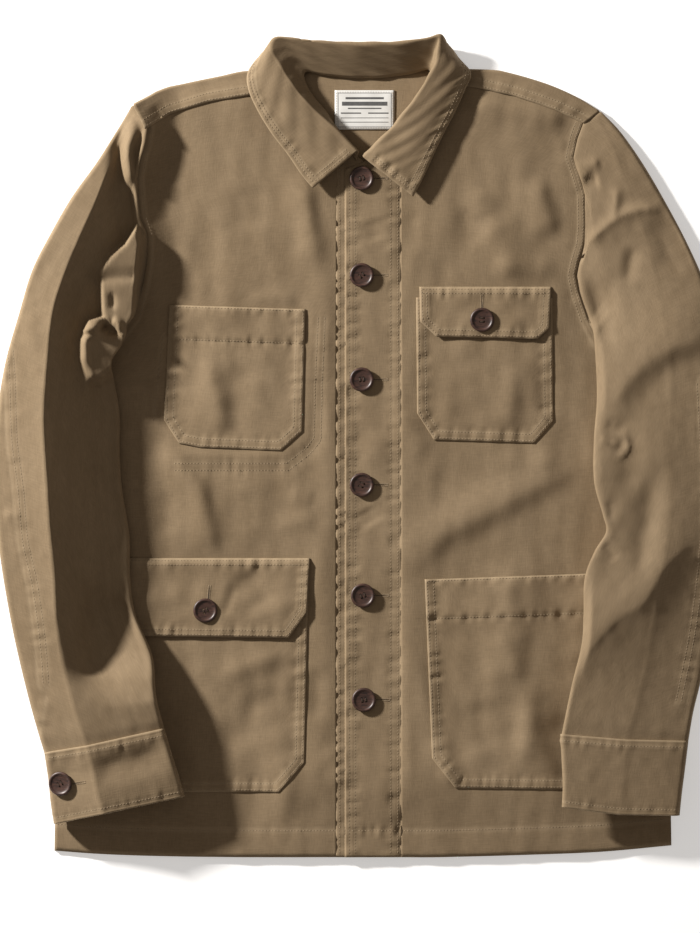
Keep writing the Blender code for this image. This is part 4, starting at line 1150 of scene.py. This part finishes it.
def inside_outline(x, y, corners):
    """True for the points inside a closed outline."""
    inside = np.zeros(x.shape, bool)
    for (x0, y0), (x1, y1) in zip(corners, corners[1:] + corners[:1]):
        if y0 != y1:
            crossing = x0 + (y - y0) * (x1 - x0) / (y1 - y0)
            inside ^= ((y0 > y) != (y1 > y)) & (x < crossing)
    return inside


def billowed(x, y, heights):
    """Heights with the cloth blown up to its own height inside the outlines of the billows."""
    for corners, (low_x, high_x), (low_z, high_z), softness in BILLOWS:
        away = near(x, y, corners + corners[:1])[0]
        depth = np.where(inside_outline(x, y, corners), away, -away)
        blown = low_z + (high_z - low_z) * (x - low_x) / (high_x - low_x)
        heights = heights + smooth(depth / softness + 0.5) * np.maximum(blown - heights, 0)
    return heights


def side_wall(edge, foot_plan, foot, inset, shares):
    """Columns between a folded edge and the floor under it, curving in below the fold."""
    shares = np.asarray(shares)[None, :]
    across = (1 - shares) ** 2 * inset
    plan = edge[:, None, :2] + (foot_plan - edge[:, :2])[:, None] * across[..., None]
    return raised(plan, foot[:, None] + (edge[:, 2] - foot)[:, None] * shares)


def whole_ring(table, rows, upper, thickness, inset, ease=1):
    """The upper wall from the outer to the inner fold, then back along the wall that lies underneath."""
    start, end = upper[:, -1, :2], upper[:, 0, :2]
    plan = start[:, None] + (end - start)[:, None] * UNDER_STRIP[:, None]
    floor = rest_height(*xy(plan)) + thickness / 2 + sleeve_sections(table, rows)[4]
    floor = BACK_SEWN + (floor - BACK_SEWN) * ease
    under = raised(plan, floor)[:, 1:-1]
    inner_wall = side_wall(upper[:, -1], plan[:, 1], floor[:, 1], inset, WALL_STEPS[::-1])
    outer_wall = side_wall(upper[:, 0], plan[:, -2], floor[:, -2], inset, WALL_STEPS)
    return np.concatenate([upper, inner_wall, under, outer_wall, upper[:, :1]], axis=1)


def sleeve_tube(name, nodes, table, armhole, side, shape, lines):
    """One whole sleeve, eased into its armhole and tucked under its seam, with its felled seams."""
    rows = SLEEVE_ROWS
    plan = sleeve_plan(table, rows, armhole)
    heights = sleeve_heights(table, rows, plan, CLOTH, shape)
    seam_height = front_height(*xy(plan[:1]))
    ease = np.clip(rows / SHOULDER_RISE, 0, 1)[:, None] ** SHOULDER_ROUND
    heights = seam_height + (heights - seam_height) * ease
    worn = np.zeros(heights.shape)
    for line, line_rows in lines:
        away, run, _ = near(*xy(plan), line)
        fell = sum(bell(away - row, 1.5) for row in line_rows)
        pucker = FELL_PUCKER * ripples(run, 9, 91) * bell(away, 7)
        heights += FELL_RISE * bell(away, 5) - FELL_GROOVE * fell + pucker
        worn = np.maximum(worn, FELL_WORN * fell)
    heights -= INTO_CUFF_DROP * smooth((rows[:, None] - INTO_CUFF) / 0.02)
    inset = WALL_INSET * smooth(rows / 0.1)[:, None]
    points = whole_ring(table, rows, raised(plan, heights), CLOTH, inset, ease)
    last = plan.shape[1] - 1
    inwards = np.zeros(points.shape[:2])
    inwards[0] = 1
    inwards[:, last] = 1 - past_armhole(points[:, last, 1])
    points[..., 0] -= side * TUCK * inwards
    points[..., 2] -= TUCK_DROP * inwards
    worn = np.pad(worn, ((0, 0), (0, points.shape[1] - worn.shape[1])))
    return cloth(name, nodes, points, worn=worn, ring=True)


RIGHT_FELLED_SEAM = [
    (-332, 90), (-330, 62), (-328, 6), (-322, -41), (-318, -88), (-309, -130), (-302, -182), (-299, -222),
]
RIGHT_VENT = [(-296, -234), (-299, -252), (-303, -272)]
LEFT_FELLED_SEAM = [(318, 60), (321, 0), (322, -60), (318, -120), (310, -180), (298, -240)]
FELL_ROWS = (0, 5)
FELL_RISE = 0.45
FELL_GROOVE = 0.3
FELL_PUCKER = 0.6
FELL_WORN = 0.6
INTO_CUFF = 0.975
INTO_CUFF_DROP = 0.9
RIGHT_SLEEVE_SHAPE = [
    # places along the sleeve, steepness beside the ridge, levels of the outer and the inner fold there
    # as shares of the ridge's height, widths and height of the inner fold's own curve, and how far
    # from the armhole the cloth has risen
    (0, 0.1, 0.2, 0.3, 0.6, 0.74, 0.8, 0.86, 0.9, 0.94, 1),
    (1.5, 1.5, 1.5, 1.5, 1.6, 1.6, 1.6, 1.5, 1.3, 1.1, 1.0),
    (0.6, 0.93, 0.97, 0.93, 0.78, 0.74, 0.74, 0.74, 0.74, 0.74, 0.74),
    (0, 0, 0, 0.05, 0.1, 0.12, 0.18, 0.42, 0.72, 0.87, 0.81),
    [3.5] * 11, 3.5, 6,
]
LEFT_SLEEVE_SHAPE = [
    (0, 0.12, 0.3, 0.5, 0.7, 0.85, 1), [0.9] * 7, (0.5, 0.7, 0.8, 0.8, 0.75, 0.75, 0.6),
    (0.2, 0.4, 0.95, 1.25, 1.3, 1.25, 1.1), (9, 9, 9, 9, 5, 3, 3), 2.2, 36,
]
right_sleeve = sleeve_tube(
    "sleeve_tube_right", ("sleeve_right_upper", "sleeve_right_under"), RIGHT_SLEEVE, RIGHT_EDGE, -1,
    RIGHT_SLEEVE_SHAPE, [(RIGHT_FELLED_SEAM, FELL_ROWS), (RIGHT_VENT, (0,))],
)
left_sleeve = sleeve_tube(
    "sleeve_tube_left", ("sleeve_left_upper", "sleeve_left_under"), LEFT_SLEEVE, LEFT_EDGE, 1,
    LEFT_SLEEVE_SHAPE, [(LEFT_FELLED_SEAM, FELL_ROWS)],
)
right_sleeve_stitches = sew("stitches_sleeve_right", right_sleeve, [
    curve(RIGHT_FELLED_SEAM), offset(curve(RIGHT_FELLED_SEAM), FELL_ROWS[1]),
])
left_sleeve_stitches = sew("stitches_sleeve_left", left_sleeve, [
    curve(LEFT_FELLED_SEAM), offset(curve(LEFT_FELLED_SEAM), -FELL_ROWS[1]),
])


# ---- Cuffs ------------------------------------------------------------------------------------
# Doubled bands set on the sleeve ends, topstitched all round and closed with one button. Their
# shapes have the same columns as those of the sleeves.

CUFF_CLOTH = 2.0
CUFF_ROWS = np.linspace(0, 1, 38)
SEAM_STITCH = 6
EDGE_STITCH = 5.5
CUFF_TURNING = 7
RIGHT_CUFF_SHAPE = (
    (0, 0.3, 1), (1, 1, 1), (0.74, 0.55, 0.5), (0.81, 0.8, 0.72), (3.5, 3.5, 3.5), 3.5, 1
)
LEFT_CUFF_SHAPE = ((0, 0.3, 1), (0.9, 0.9, 0.9), (0.6, 0.5, 0.5), (1.1, 1.1, 1.1), (3, 3, 3), 2.2, 1)


def make_cuff(name, node, table, side, seed, shape):
    """A cuff as a closed ring, with puckered stitch rows along its seam and its free edge."""
    plan = sleeve_plan(table, CUFF_ROWS)
    upper = raised(plan, sleeve_heights(table, CUFF_ROWS, plan, CUFF_CLOTH, shape))
    points = whole_ring(table, CUFF_ROWS, upper, CUFF_CLOTH, WALL_INSET)
    around, down_cuff = cloth_lengths(points)
    from_edge = down_cuff[-1:] - down_cuff
    relief = 0.45 * bell(down_cuff - 2, 2.5) - 0.35 * bell(down_cuff - SEAM_STITCH, 1.3)
    relief += stitched_edge(from_edge, around, (EDGE_STITCH,), CUFF_TURNING, seed, pucker=0.25)
    relief += 0.35 * ripples(around, 9, seed + 1) * bell(down_cuff - SEAM_STITCH, 5)
    relief[:, plan.shape[1]:] = 0
    points += relief[..., None] * facing(points, -side)
    points[:, -1] = points[:, 0]
    worn = np.maximum(worn_edge(from_edge, (EDGE_STITCH,)), worn_edge(down_cuff, (SEAM_STITCH,)))
    made = cloth(name, [node], points, CUFF_CLOTH, worn, ring=True)
    middle = points[:, 2:plan.shape[1] - 2, :2]
    lines = []
    for distance in (SEAM_STITCH, down_cuff[-1:].mean() - EDGE_STITCH):
        at = np.interp(distance, down_cuff.mean(axis=1), np.arange(len(CUFF_ROWS)))
        low = int(at)
        lines.append(middle[low] + (middle[low + 1] - middle[low]) * (at - low))
    return made, sew("stitches_" + name, made, lines)


right_cuff, right_cuff_stitches = make_cuff(
    "cuff_band_right", "cuff_right", RIGHT_CUFF, -1, 201, RIGHT_CUFF_SHAPE
)
left_cuff, left_cuff_stitches = make_cuff(
    "cuff_band_left", "cuff_left", LEFT_CUFF, 1, 211, LEFT_CUFF_SHAPE
)


# ---- Collar -----------------------------------------------------------------------------------
# A one-piece turn-down collar: the stand rises from the neck seam, rolls over its fold and falls to
# pointed leaves, with two rows of stitches round the free edge.

COLLAR_CLOTH = 1.8
COLLAR = [
    # seam x, y, z, fold x, y, z, edge x, y, z
    (-6, 269, 5.8, -5, 277, 14, -47, 243, 12.4),
    (-13, 281, 5.8, -15, 287, 14.6, -58, 256, 13),
    (-23, 297, 5.8, -28, 300, 15, -71, 275, 14),
    (-33, 311, 5.8, -42, 312, 15.4, -85, 293, 16.2),
    (-43, 324, 5.8, -55, 325, 15.6, -98, 314, 17),
    (-51, 335, 5.8, -69, 343, 15.8, -107, 334, 16.4),
    (-55, 345, 6, -80, 361, 16, -108, 350, 12),
    (-55, 351, 6, -86, 373, 18.5, -99, 364, 6),
    (-51, 352.5, 5, -82, 383, 21, -88, 371, 2),
    (-42, 350.5, 3.2, -66, 382.5, 21, -68, 362, 1.4),
    (-26, 348, 2.8, -36, 379.5, 21, -38, 356, 1.4),
    (2, 346.5, 2.8, 5, 378.5, 21, 5, 353.5, 1.4),
    (32, 348.5, 2.8, 38, 379.5, 21, 38, 357, 1.4),
    (50, 352, 3.2, 60, 383, 21, 64, 365, 1.4),
    (60, 354, 5, 72, 385, 21, 80, 374, 2),
    (64, 352, 6, 72, 375, 21, 91, 363, 5),
    (66, 345, 6, 69, 361, 21, 101, 350, 9.5),
    (62, 333, 6, 61, 345, 20, 95, 334, 11.5),
    (54, 319, 6, 50, 328, 19, 86, 314, 12),
    (43, 305, 6.4, 37, 311, 17, 76, 295, 12),
    (30, 291, 7.4, 23, 295, 15, 66, 274, 12),
    (17, 280, 7.8, 9, 281, 13.5, 56, 252, 12),
    (6, 273, 7.8, 0, 273, 12, 47, 235, 11.5),
]
COLLAR_ROWS = 290
FOLD_STEPS = 9
STAND_STRIP = np.linspace(0, 0.94, 11)
FALL_STRIP = np.linspace(0.04, 1, 40)
FOLD_RADIUS = 2.4
FALL_BOW = 1.6
ON_FRONT = 3
COLLAR_STITCH = (4.2, 7.8)
COLLAR_TURNING = 9


def collar_points():
    """The collar's middle surface: stand, rolled fold and fall, one row for each cross-section."""
    seam, fold, edge = np.split(between(COLLAR, np.linspace(0, len(COLLAR) - 1, COLLAR_ROWS)), 3, axis=1)
    to_seam, to_edge = unit(seam - fold), unit(edge - fold)
    inwards = unit(to_seam + to_edge)
    sideways = unit(to_seam - inwards * (to_seam * inwards).sum(axis=1, keepdims=True))
    half_angle = np.arccos(np.clip((to_seam * inwards).sum(axis=1), -1, 1))
    centre = fold + FOLD_RADIUS * inwards
    turned = []
    for share in np.linspace(1, -1, FOLD_STEPS):
        angle = (share * (np.pi / 2 - half_angle))[:, None]
        turned.append(centre + FOLD_RADIUS * (np.sin(angle) * sideways - np.cos(angle) * inwards))
    stand = [seam + (turned[0] - seam) * t for t in STAND_STRIP]
    fall = [turned[-1] + (edge - turned[-1]) * t for t in FALL_STRIP]
    for t, step in zip(FALL_STRIP, fall):
        step[:, 2] += FALL_BOW * np.sin(np.pi * t) * np.sign(edge[:, 2] - ON_FRONT)
    return np.stack(stand + turned + fall, axis=1)


points = collar_points()
over, run = cloth_lengths(points)
free_sides = (over[:, -1:] - over, run, run[-1:] - run)
from_edge, _, from_end = free_sides
last_column = points.shape[1] - 1
on_fall = smooth((np.arange(last_column + 1) - len(STAND_STRIP) - FOLD_STEPS) / 4)
edges = [(from_edge, run, 301, 0.22), (run, over, 302, 0.38), (from_end, over, 303, 0.38)]
relief = on_fall * sum(
    stitched_edge(away, way, COLLAR_STITCH, COLLAR_TURNING, seed, pucker, rise=0.35)
    for away, way, seed, pucker in edges
)
relief += 0.35 * rumple(run, over, 24, 304) * smooth(np.minimum.reduce(free_sides) / 12)
points += relief[..., None] * facing(points, -1)
worn = on_fall * np.maximum.reduce([worn_edge(away, COLLAR_STITCH) for away in free_sides])
collar = cloth("collar_roll", ["collar"], points, COLLAR_CLOTH, worn)
edge_lines = []
first_fall = len(STAND_STRIP) + FOLD_STEPS + 1
for distance in COLLAR_STITCH:
    first, last = (
        [int(np.interp(distance, inwards, np.arange(COLLAR_ROWS))) for inwards in side.T]
        for side in (run, from_end[::-1])
    )
    column = last_column - int(round(distance / from_edge[0, -2]))
    edge_lines += [
        [points[first[c], c] for c in range(first_fall, column)],
        [points[row, column] for row in range(first[-1], COLLAR_ROWS - 1 - last[-1], 2)],
        [points[COLLAR_ROWS - 1 - last[c], c] for c in range(column, first_fall, -1)],
    ]
collar_stitches = sew("stitches_collar", collar, edge_lines)


# ---- Buttons ----------------------------------------------------------------------------------
# Turned four-hole buttons of dark brown horn, dished in the middle, sewn on with brown thread
# through their own holes; each front and flap one sits in a worked buttonhole.

BUTTON_PROFILE = [
    # radius, height
    (0, 0), (8.6, 0), (9.8, 0.25), (10.8, 0.8), (11.3, 1.5), (11.4, 2.1), (11.2, 2.7), (10.7, 3.15),
    (10.1, 3.4), (9.5, 3.4), (9.0, 3.2), (8.6, 2.8), (8.0, 2.5), (6.0, 2.3), (0, 2.2),
]
BUTTON_TURNS = 48
BUTTON_LIFT = 0.8
SHARP_ANGLE = 50
HOLE_RADIUS = 0.95
HOLE_AT = 1.75
DRILL_LENGTH = 20
STRAND_LANES = (-0.3, 0.3)
STRAND_HEIGHT = 2.45
STRAND_SIZE = (0.26, 2.1, 0.45)
# A buttonhole's stitches: their spacing, their reach from the slit, and the bar at its end.
HOLE_STEP = 0.85
HOLE_REACH = (0.25, 1.6)
HOLE_BAR = 1.5
HOLE_BARS_AT = (-0.2, 0.4)
HOLE_THREAD = (0.75, 0.36, 0.3)
HOLE_PITCH = 1.5
# Size of the near-black bar painted along each buttonhole slit as the shadow inside it.
SLIT_SIZE = (0.22, 0.34)
FRONT_BUTTONS = [(-1, 252), (-1, 161), (-1, 63), (-1, -36), (0, -140), (1, -238)]
TURNED_BY = {
    "button_front_1": 12, "button_front_2": 40, "button_front_3": 5, "button_front_4": 64,
    "button_front_5": 22, "button_front_6": 8, "button_chest": 90, "button_lower": 20,
    "button_cuff_right": 35, "button_cuff_left": 15,
}


def brown_horn(tree, place):
    """Polished brown horn: dark streaks in a reddish ground, with fine scratches."""
    streaks = noise(tree, place["Object"], (160, 520, 300), 4.0, Distortion=0.8)
    tint = ramp(tree, streaks, (0.3, (0.018, 0.009, 0.007)), (0.75, (0.085, 0.038, 0.026)))
    scratches = noise(tree, place["Object"], 900.0, 3.0)
    gloss = add(tree, "MapRange", {"Value": scratches, "To Min": 0.38, "To Max": 0.55})
    return {
        "Base Color": tint, "Roughness": gloss.outputs[0], "Normal": bump(tree, scratches, 0.15, 0.0001),
        "Coat Weight": 0.1, "Coat Roughness": 0.35,
    }


HORN = material("brown_horn", brown_horn)
BUTTON_THREAD = thread("brown_thread", (0.07, 0.045, 0.03))
# Near-black thread colour painted into each buttonhole slit as the shadow inside the cut.
PAINTED_SLIT_SHADE = thread("slit_shadow", (0.03, 0.02, 0.014))


def turned_button():
    """One button as a mesh, with its four holes cut through."""
    blank, drill = bmesh.new(), bmesh.new()
    corners = [blank.verts.new((radius * MM, 0, height * MM)) for radius, height in BUTTON_PROFILE]
    rim = [blank.edges.new(pair) for pair in zip(corners, corners[1:])]
    bmesh.ops.spin(blank, geom=corners + rim, axis=(0, 0, 1), cent=(0, 0, 0), angle=2 * np.pi,
                   steps=BUTTON_TURNS, use_merge=True)
    bmesh.ops.remove_doubles(blank, verts=blank.verts, dist=MERGE)
    bmesh.ops.recalc_face_normals(blank, faces=blank.faces)
    radius = HOLE_RADIUS * MM
    for x in (-HOLE_AT, HOLE_AT):
        for y in (-HOLE_AT, HOLE_AT):
            bmesh.ops.create_cone(drill, segments=14, radius1=radius, radius2=radius, depth=DRILL_LENGTH * MM,
                                  cap_ends=True, matrix=Matrix.Translation((x * MM, y * MM, 0)))
    bodies = []
    for name, mesh in (("button_blank", blank), ("button_drill", drill)):
        data = bpy.data.meshes.new(name)
        mesh.to_mesh(data)
        mesh.free()
        bodies.append(bpy.data.objects.new(name, data))
        bpy.context.scene.collection.objects.link(bodies[-1])
    cut = bodies[0].modifiers.new("Holes", "BOOLEAN")
    cut.object = bodies[1]
    cut.operation = "DIFFERENCE"
    shape = bpy.data.meshes.new_from_object(bodies[0].evaluated_get(bpy.context.evaluated_depsgraph_get()))
    for body in bodies:
        bpy.data.objects.remove(body)
    shape.materials.clear()
    shape.materials.append(HORN)
    shape.shade_smooth()
    shape.set_sharp_from_angle(angle=np.radians(SHARP_ANGLE))
    return shape


def thread_bars():
    """The sewing thread of a button: two pairs of strands from hole to hole, over the dished middle."""
    mesh = bmesh.new()
    for x in (-HOLE_AT, HOLE_AT):
        for lane in STRAND_LANES:
            place = Matrix.Translation(((x + lane) * MM, 0, STRAND_HEIGHT * MM)) @ sized(STRAND_SIZE)
            bmesh.ops.create_icosphere(mesh, subdivisions=2, radius=1, matrix=place)
    return finished(bpy.data.meshes.new("button_strands"), mesh, BUTTON_THREAD)


BUTTON_SHAPE = turned_button()
STRANDS = thread_bars()


def node_frame(node):
    """Place and facing of a CAD button: the middle of its flat back and its axis."""
    places = np.array([vertex.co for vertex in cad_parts[node].data.vertices])
    middle = places.mean(axis=0)
    axis = np.linalg.svd(places - middle, full_matrices=False)[2][2]
    up = axis if axis[2] > 0 else -axis
    return middle + up * ((places - middle) @ up).min(), up


def seat(carrier, centre):
    """Where a button's place meets the top of its carrier, and which way that faces there."""
    found = surface(carrier)
    hits = [
        found.ray_cast(Vector((centre[0] + x * MM, centre[1] + y * MM, 1)), DOWN)
        for x, y in ((0, 0), (4, 0), (-4, 0), (0, 4), (0, -4))
    ]
    up = sum((hit[1] for hit in hits), Vector()).normalized()
    return hits[0][0] + up * BUTTON_LIFT * MM, up


# Each button goes in the place of its CAD node; the right cuff's one follows the modelled cloth.
for node, turn in TURNED_BY.items():
    centre, up = node_frame(node)
    if node == "button_cuff_right":
        centre, up = seat(right_cuff, centre)
    up = Vector(up)
    side = Vector((0, 1, 0)).cross(up).normalized()
    stand = Matrix((side, up.cross(side), up)).transposed().to_4x4()
    place = Matrix.Translation(centre) @ (stand @ Matrix.Rotation(np.radians(turn), 4, "Z"))
    for name, shape, nodes in ((node + "_turned", BUTTON_SHAPE, [node]), (node + "_strands", STRANDS, [])):
        data = shape.copy()
        data.transform(place)
        placed(name, data, nodes)


def buttonhole(name, carrier, start, end):
    """A worked buttonhole: close stitches over both lips of the slit, a bar at its end, and a near-black bar
    along the slit painted as the shadow inside it.
    """
    start, end = np.array(start, float), np.array(end, float)
    length = np.linalg.norm(end - start)
    way = (end - start) / length
    cross = np.array([-way[1], way[0]])
    lines = [
        [start + way * step + cross * lip * reach for reach in HOLE_REACH]
        for step in np.arange(0, length, HOLE_STEP) for lip in (1, -1)
    ]
    lines += [[end + way * at + cross * HOLE_BAR * side for side in (-1, 1)] for at in HOLE_BARS_AT]
    sew(name, carrier, lines, pitch=HOLE_PITCH, size=HOLE_THREAD)
    # A near-black bar along the slit: painted shade in place of the dark inside of the cut.
    sew(name + "_slit_shade", carrier, [[start, end]], PAINTED_SLIT_SHADE, pitch=length, size=(length / 2, *SLIT_SIZE))


for number, (x, y) in enumerate(FRONT_BUTTONS, start=1):
    buttonhole(f"buttonhole_front_{number}", band_left, (x - 4, y), (x + 24, y))
buttonhole("buttonhole_chest", pocket_pieces["chest_flap_left"], (112, 121), (112, 142))
buttonhole("buttonhole_lower", pocket_pieces["lower_flap_right"], (-146, -152), (-144, -131))
buttonhole("buttonhole_cuff_right", right_cuff, (-280, -317), (-260, -314))


# ---- Floor, light and camera ------------------------------------------------------------------
# A pale seamless floor that glows faintly to paint its shadows paler, one low key lamp three metres off to
# the viewer's upper left, and an even fill.

FLOOR_SIZE = 12.0
FLOOR_DROP = 0.2
LAMP_HEIGHT = 20.5
LAMP_TURN = 31
LAMP_AWAY = 3.3
LAMP_SIZE = 0.28
LAMP_POWER = 244
FILL_COLOUR = (1.0, 0.893, 0.797, 1)
FILL_STRENGTH = 0.225
VIEW_CENTRE = (-12.2, -18.8)
VIEW_LENGTH = 877
VIEW_RISE = 5
LENS = 250
SENSOR = 36


def glowing_pale_floor(tree, place):
    """Matte off-white paper with a very faint grain, glowing faintly so that the shadows on it are painted
    paler.
    """
    grain = noise(tree, place["Object"], 40.0, 4.0)
    return {
        "Base Color": ramp(tree, grain, (0, (0.86, 0.86, 0.86)), (1, (0.9, 0.9, 0.9))),
        # The emission is painted light: the floor glows to lift the shadows cast on it.
        "Roughness": 0.9, "Emission Color": (1, 1, 1, 1), "Emission Strength": 0.4,
    }


mesh = bmesh.new()
bmesh.ops.create_grid(mesh, x_segments=1, y_segments=1, size=FLOOR_SIZE / 2)
data = finished(bpy.data.meshes.new("floor"), mesh, material("glowing_pale_floor", glowing_pale_floor), False)
floor = bpy.data.objects.new("floor", data)
floor.location.z = -FLOOR_DROP * MM
bpy.context.scene.collection.objects.link(floor)

world = bpy.data.worlds.new("studio")
bpy.context.scene.world = world
world.use_nodes = True
fill = world.node_tree.nodes["Background"]
wired(world.node_tree, fill, {"Color": FILL_COLOUR, "Strength": FILL_STRENGTH})

key = bpy.data.lights.new("key", "AREA")
key.shape = "DISK"
key.size = LAMP_SIZE
key.energy = LAMP_POWER
key.color = (1.0, 0.97, 0.93)
key_object = bpy.data.objects.new("key", key)
low, turned = np.radians(LAMP_HEIGHT), np.radians(LAMP_TURN)
travel = Vector((np.cos(low) * np.cos(turned), -np.cos(low) * np.sin(turned), -np.sin(low)))
key_object.location = -LAMP_AWAY * travel
key_object.rotation_euler = travel.to_track_quat("-Z", "Y").to_euler()
key_object.visible_camera = False
bpy.context.scene.collection.objects.link(key_object)

camera = bpy.data.cameras.new("camera")
camera.lens = LENS
camera.sensor_width = SENSOR
camera.sensor_fit = "AUTO"
camera.clip_end = 50
camera_object = bpy.data.objects.new("camera", camera)
distance = VIEW_LENGTH * LENS / SENSOR + VIEW_RISE
camera_object.location = Vector((*VIEW_CENTRE, distance)) * MM
bpy.context.scene.collection.objects.link(camera_object)
bpy.context.scene.camera = camera_object
bpy.context.scene.view_settings.view_transform = "Standard"
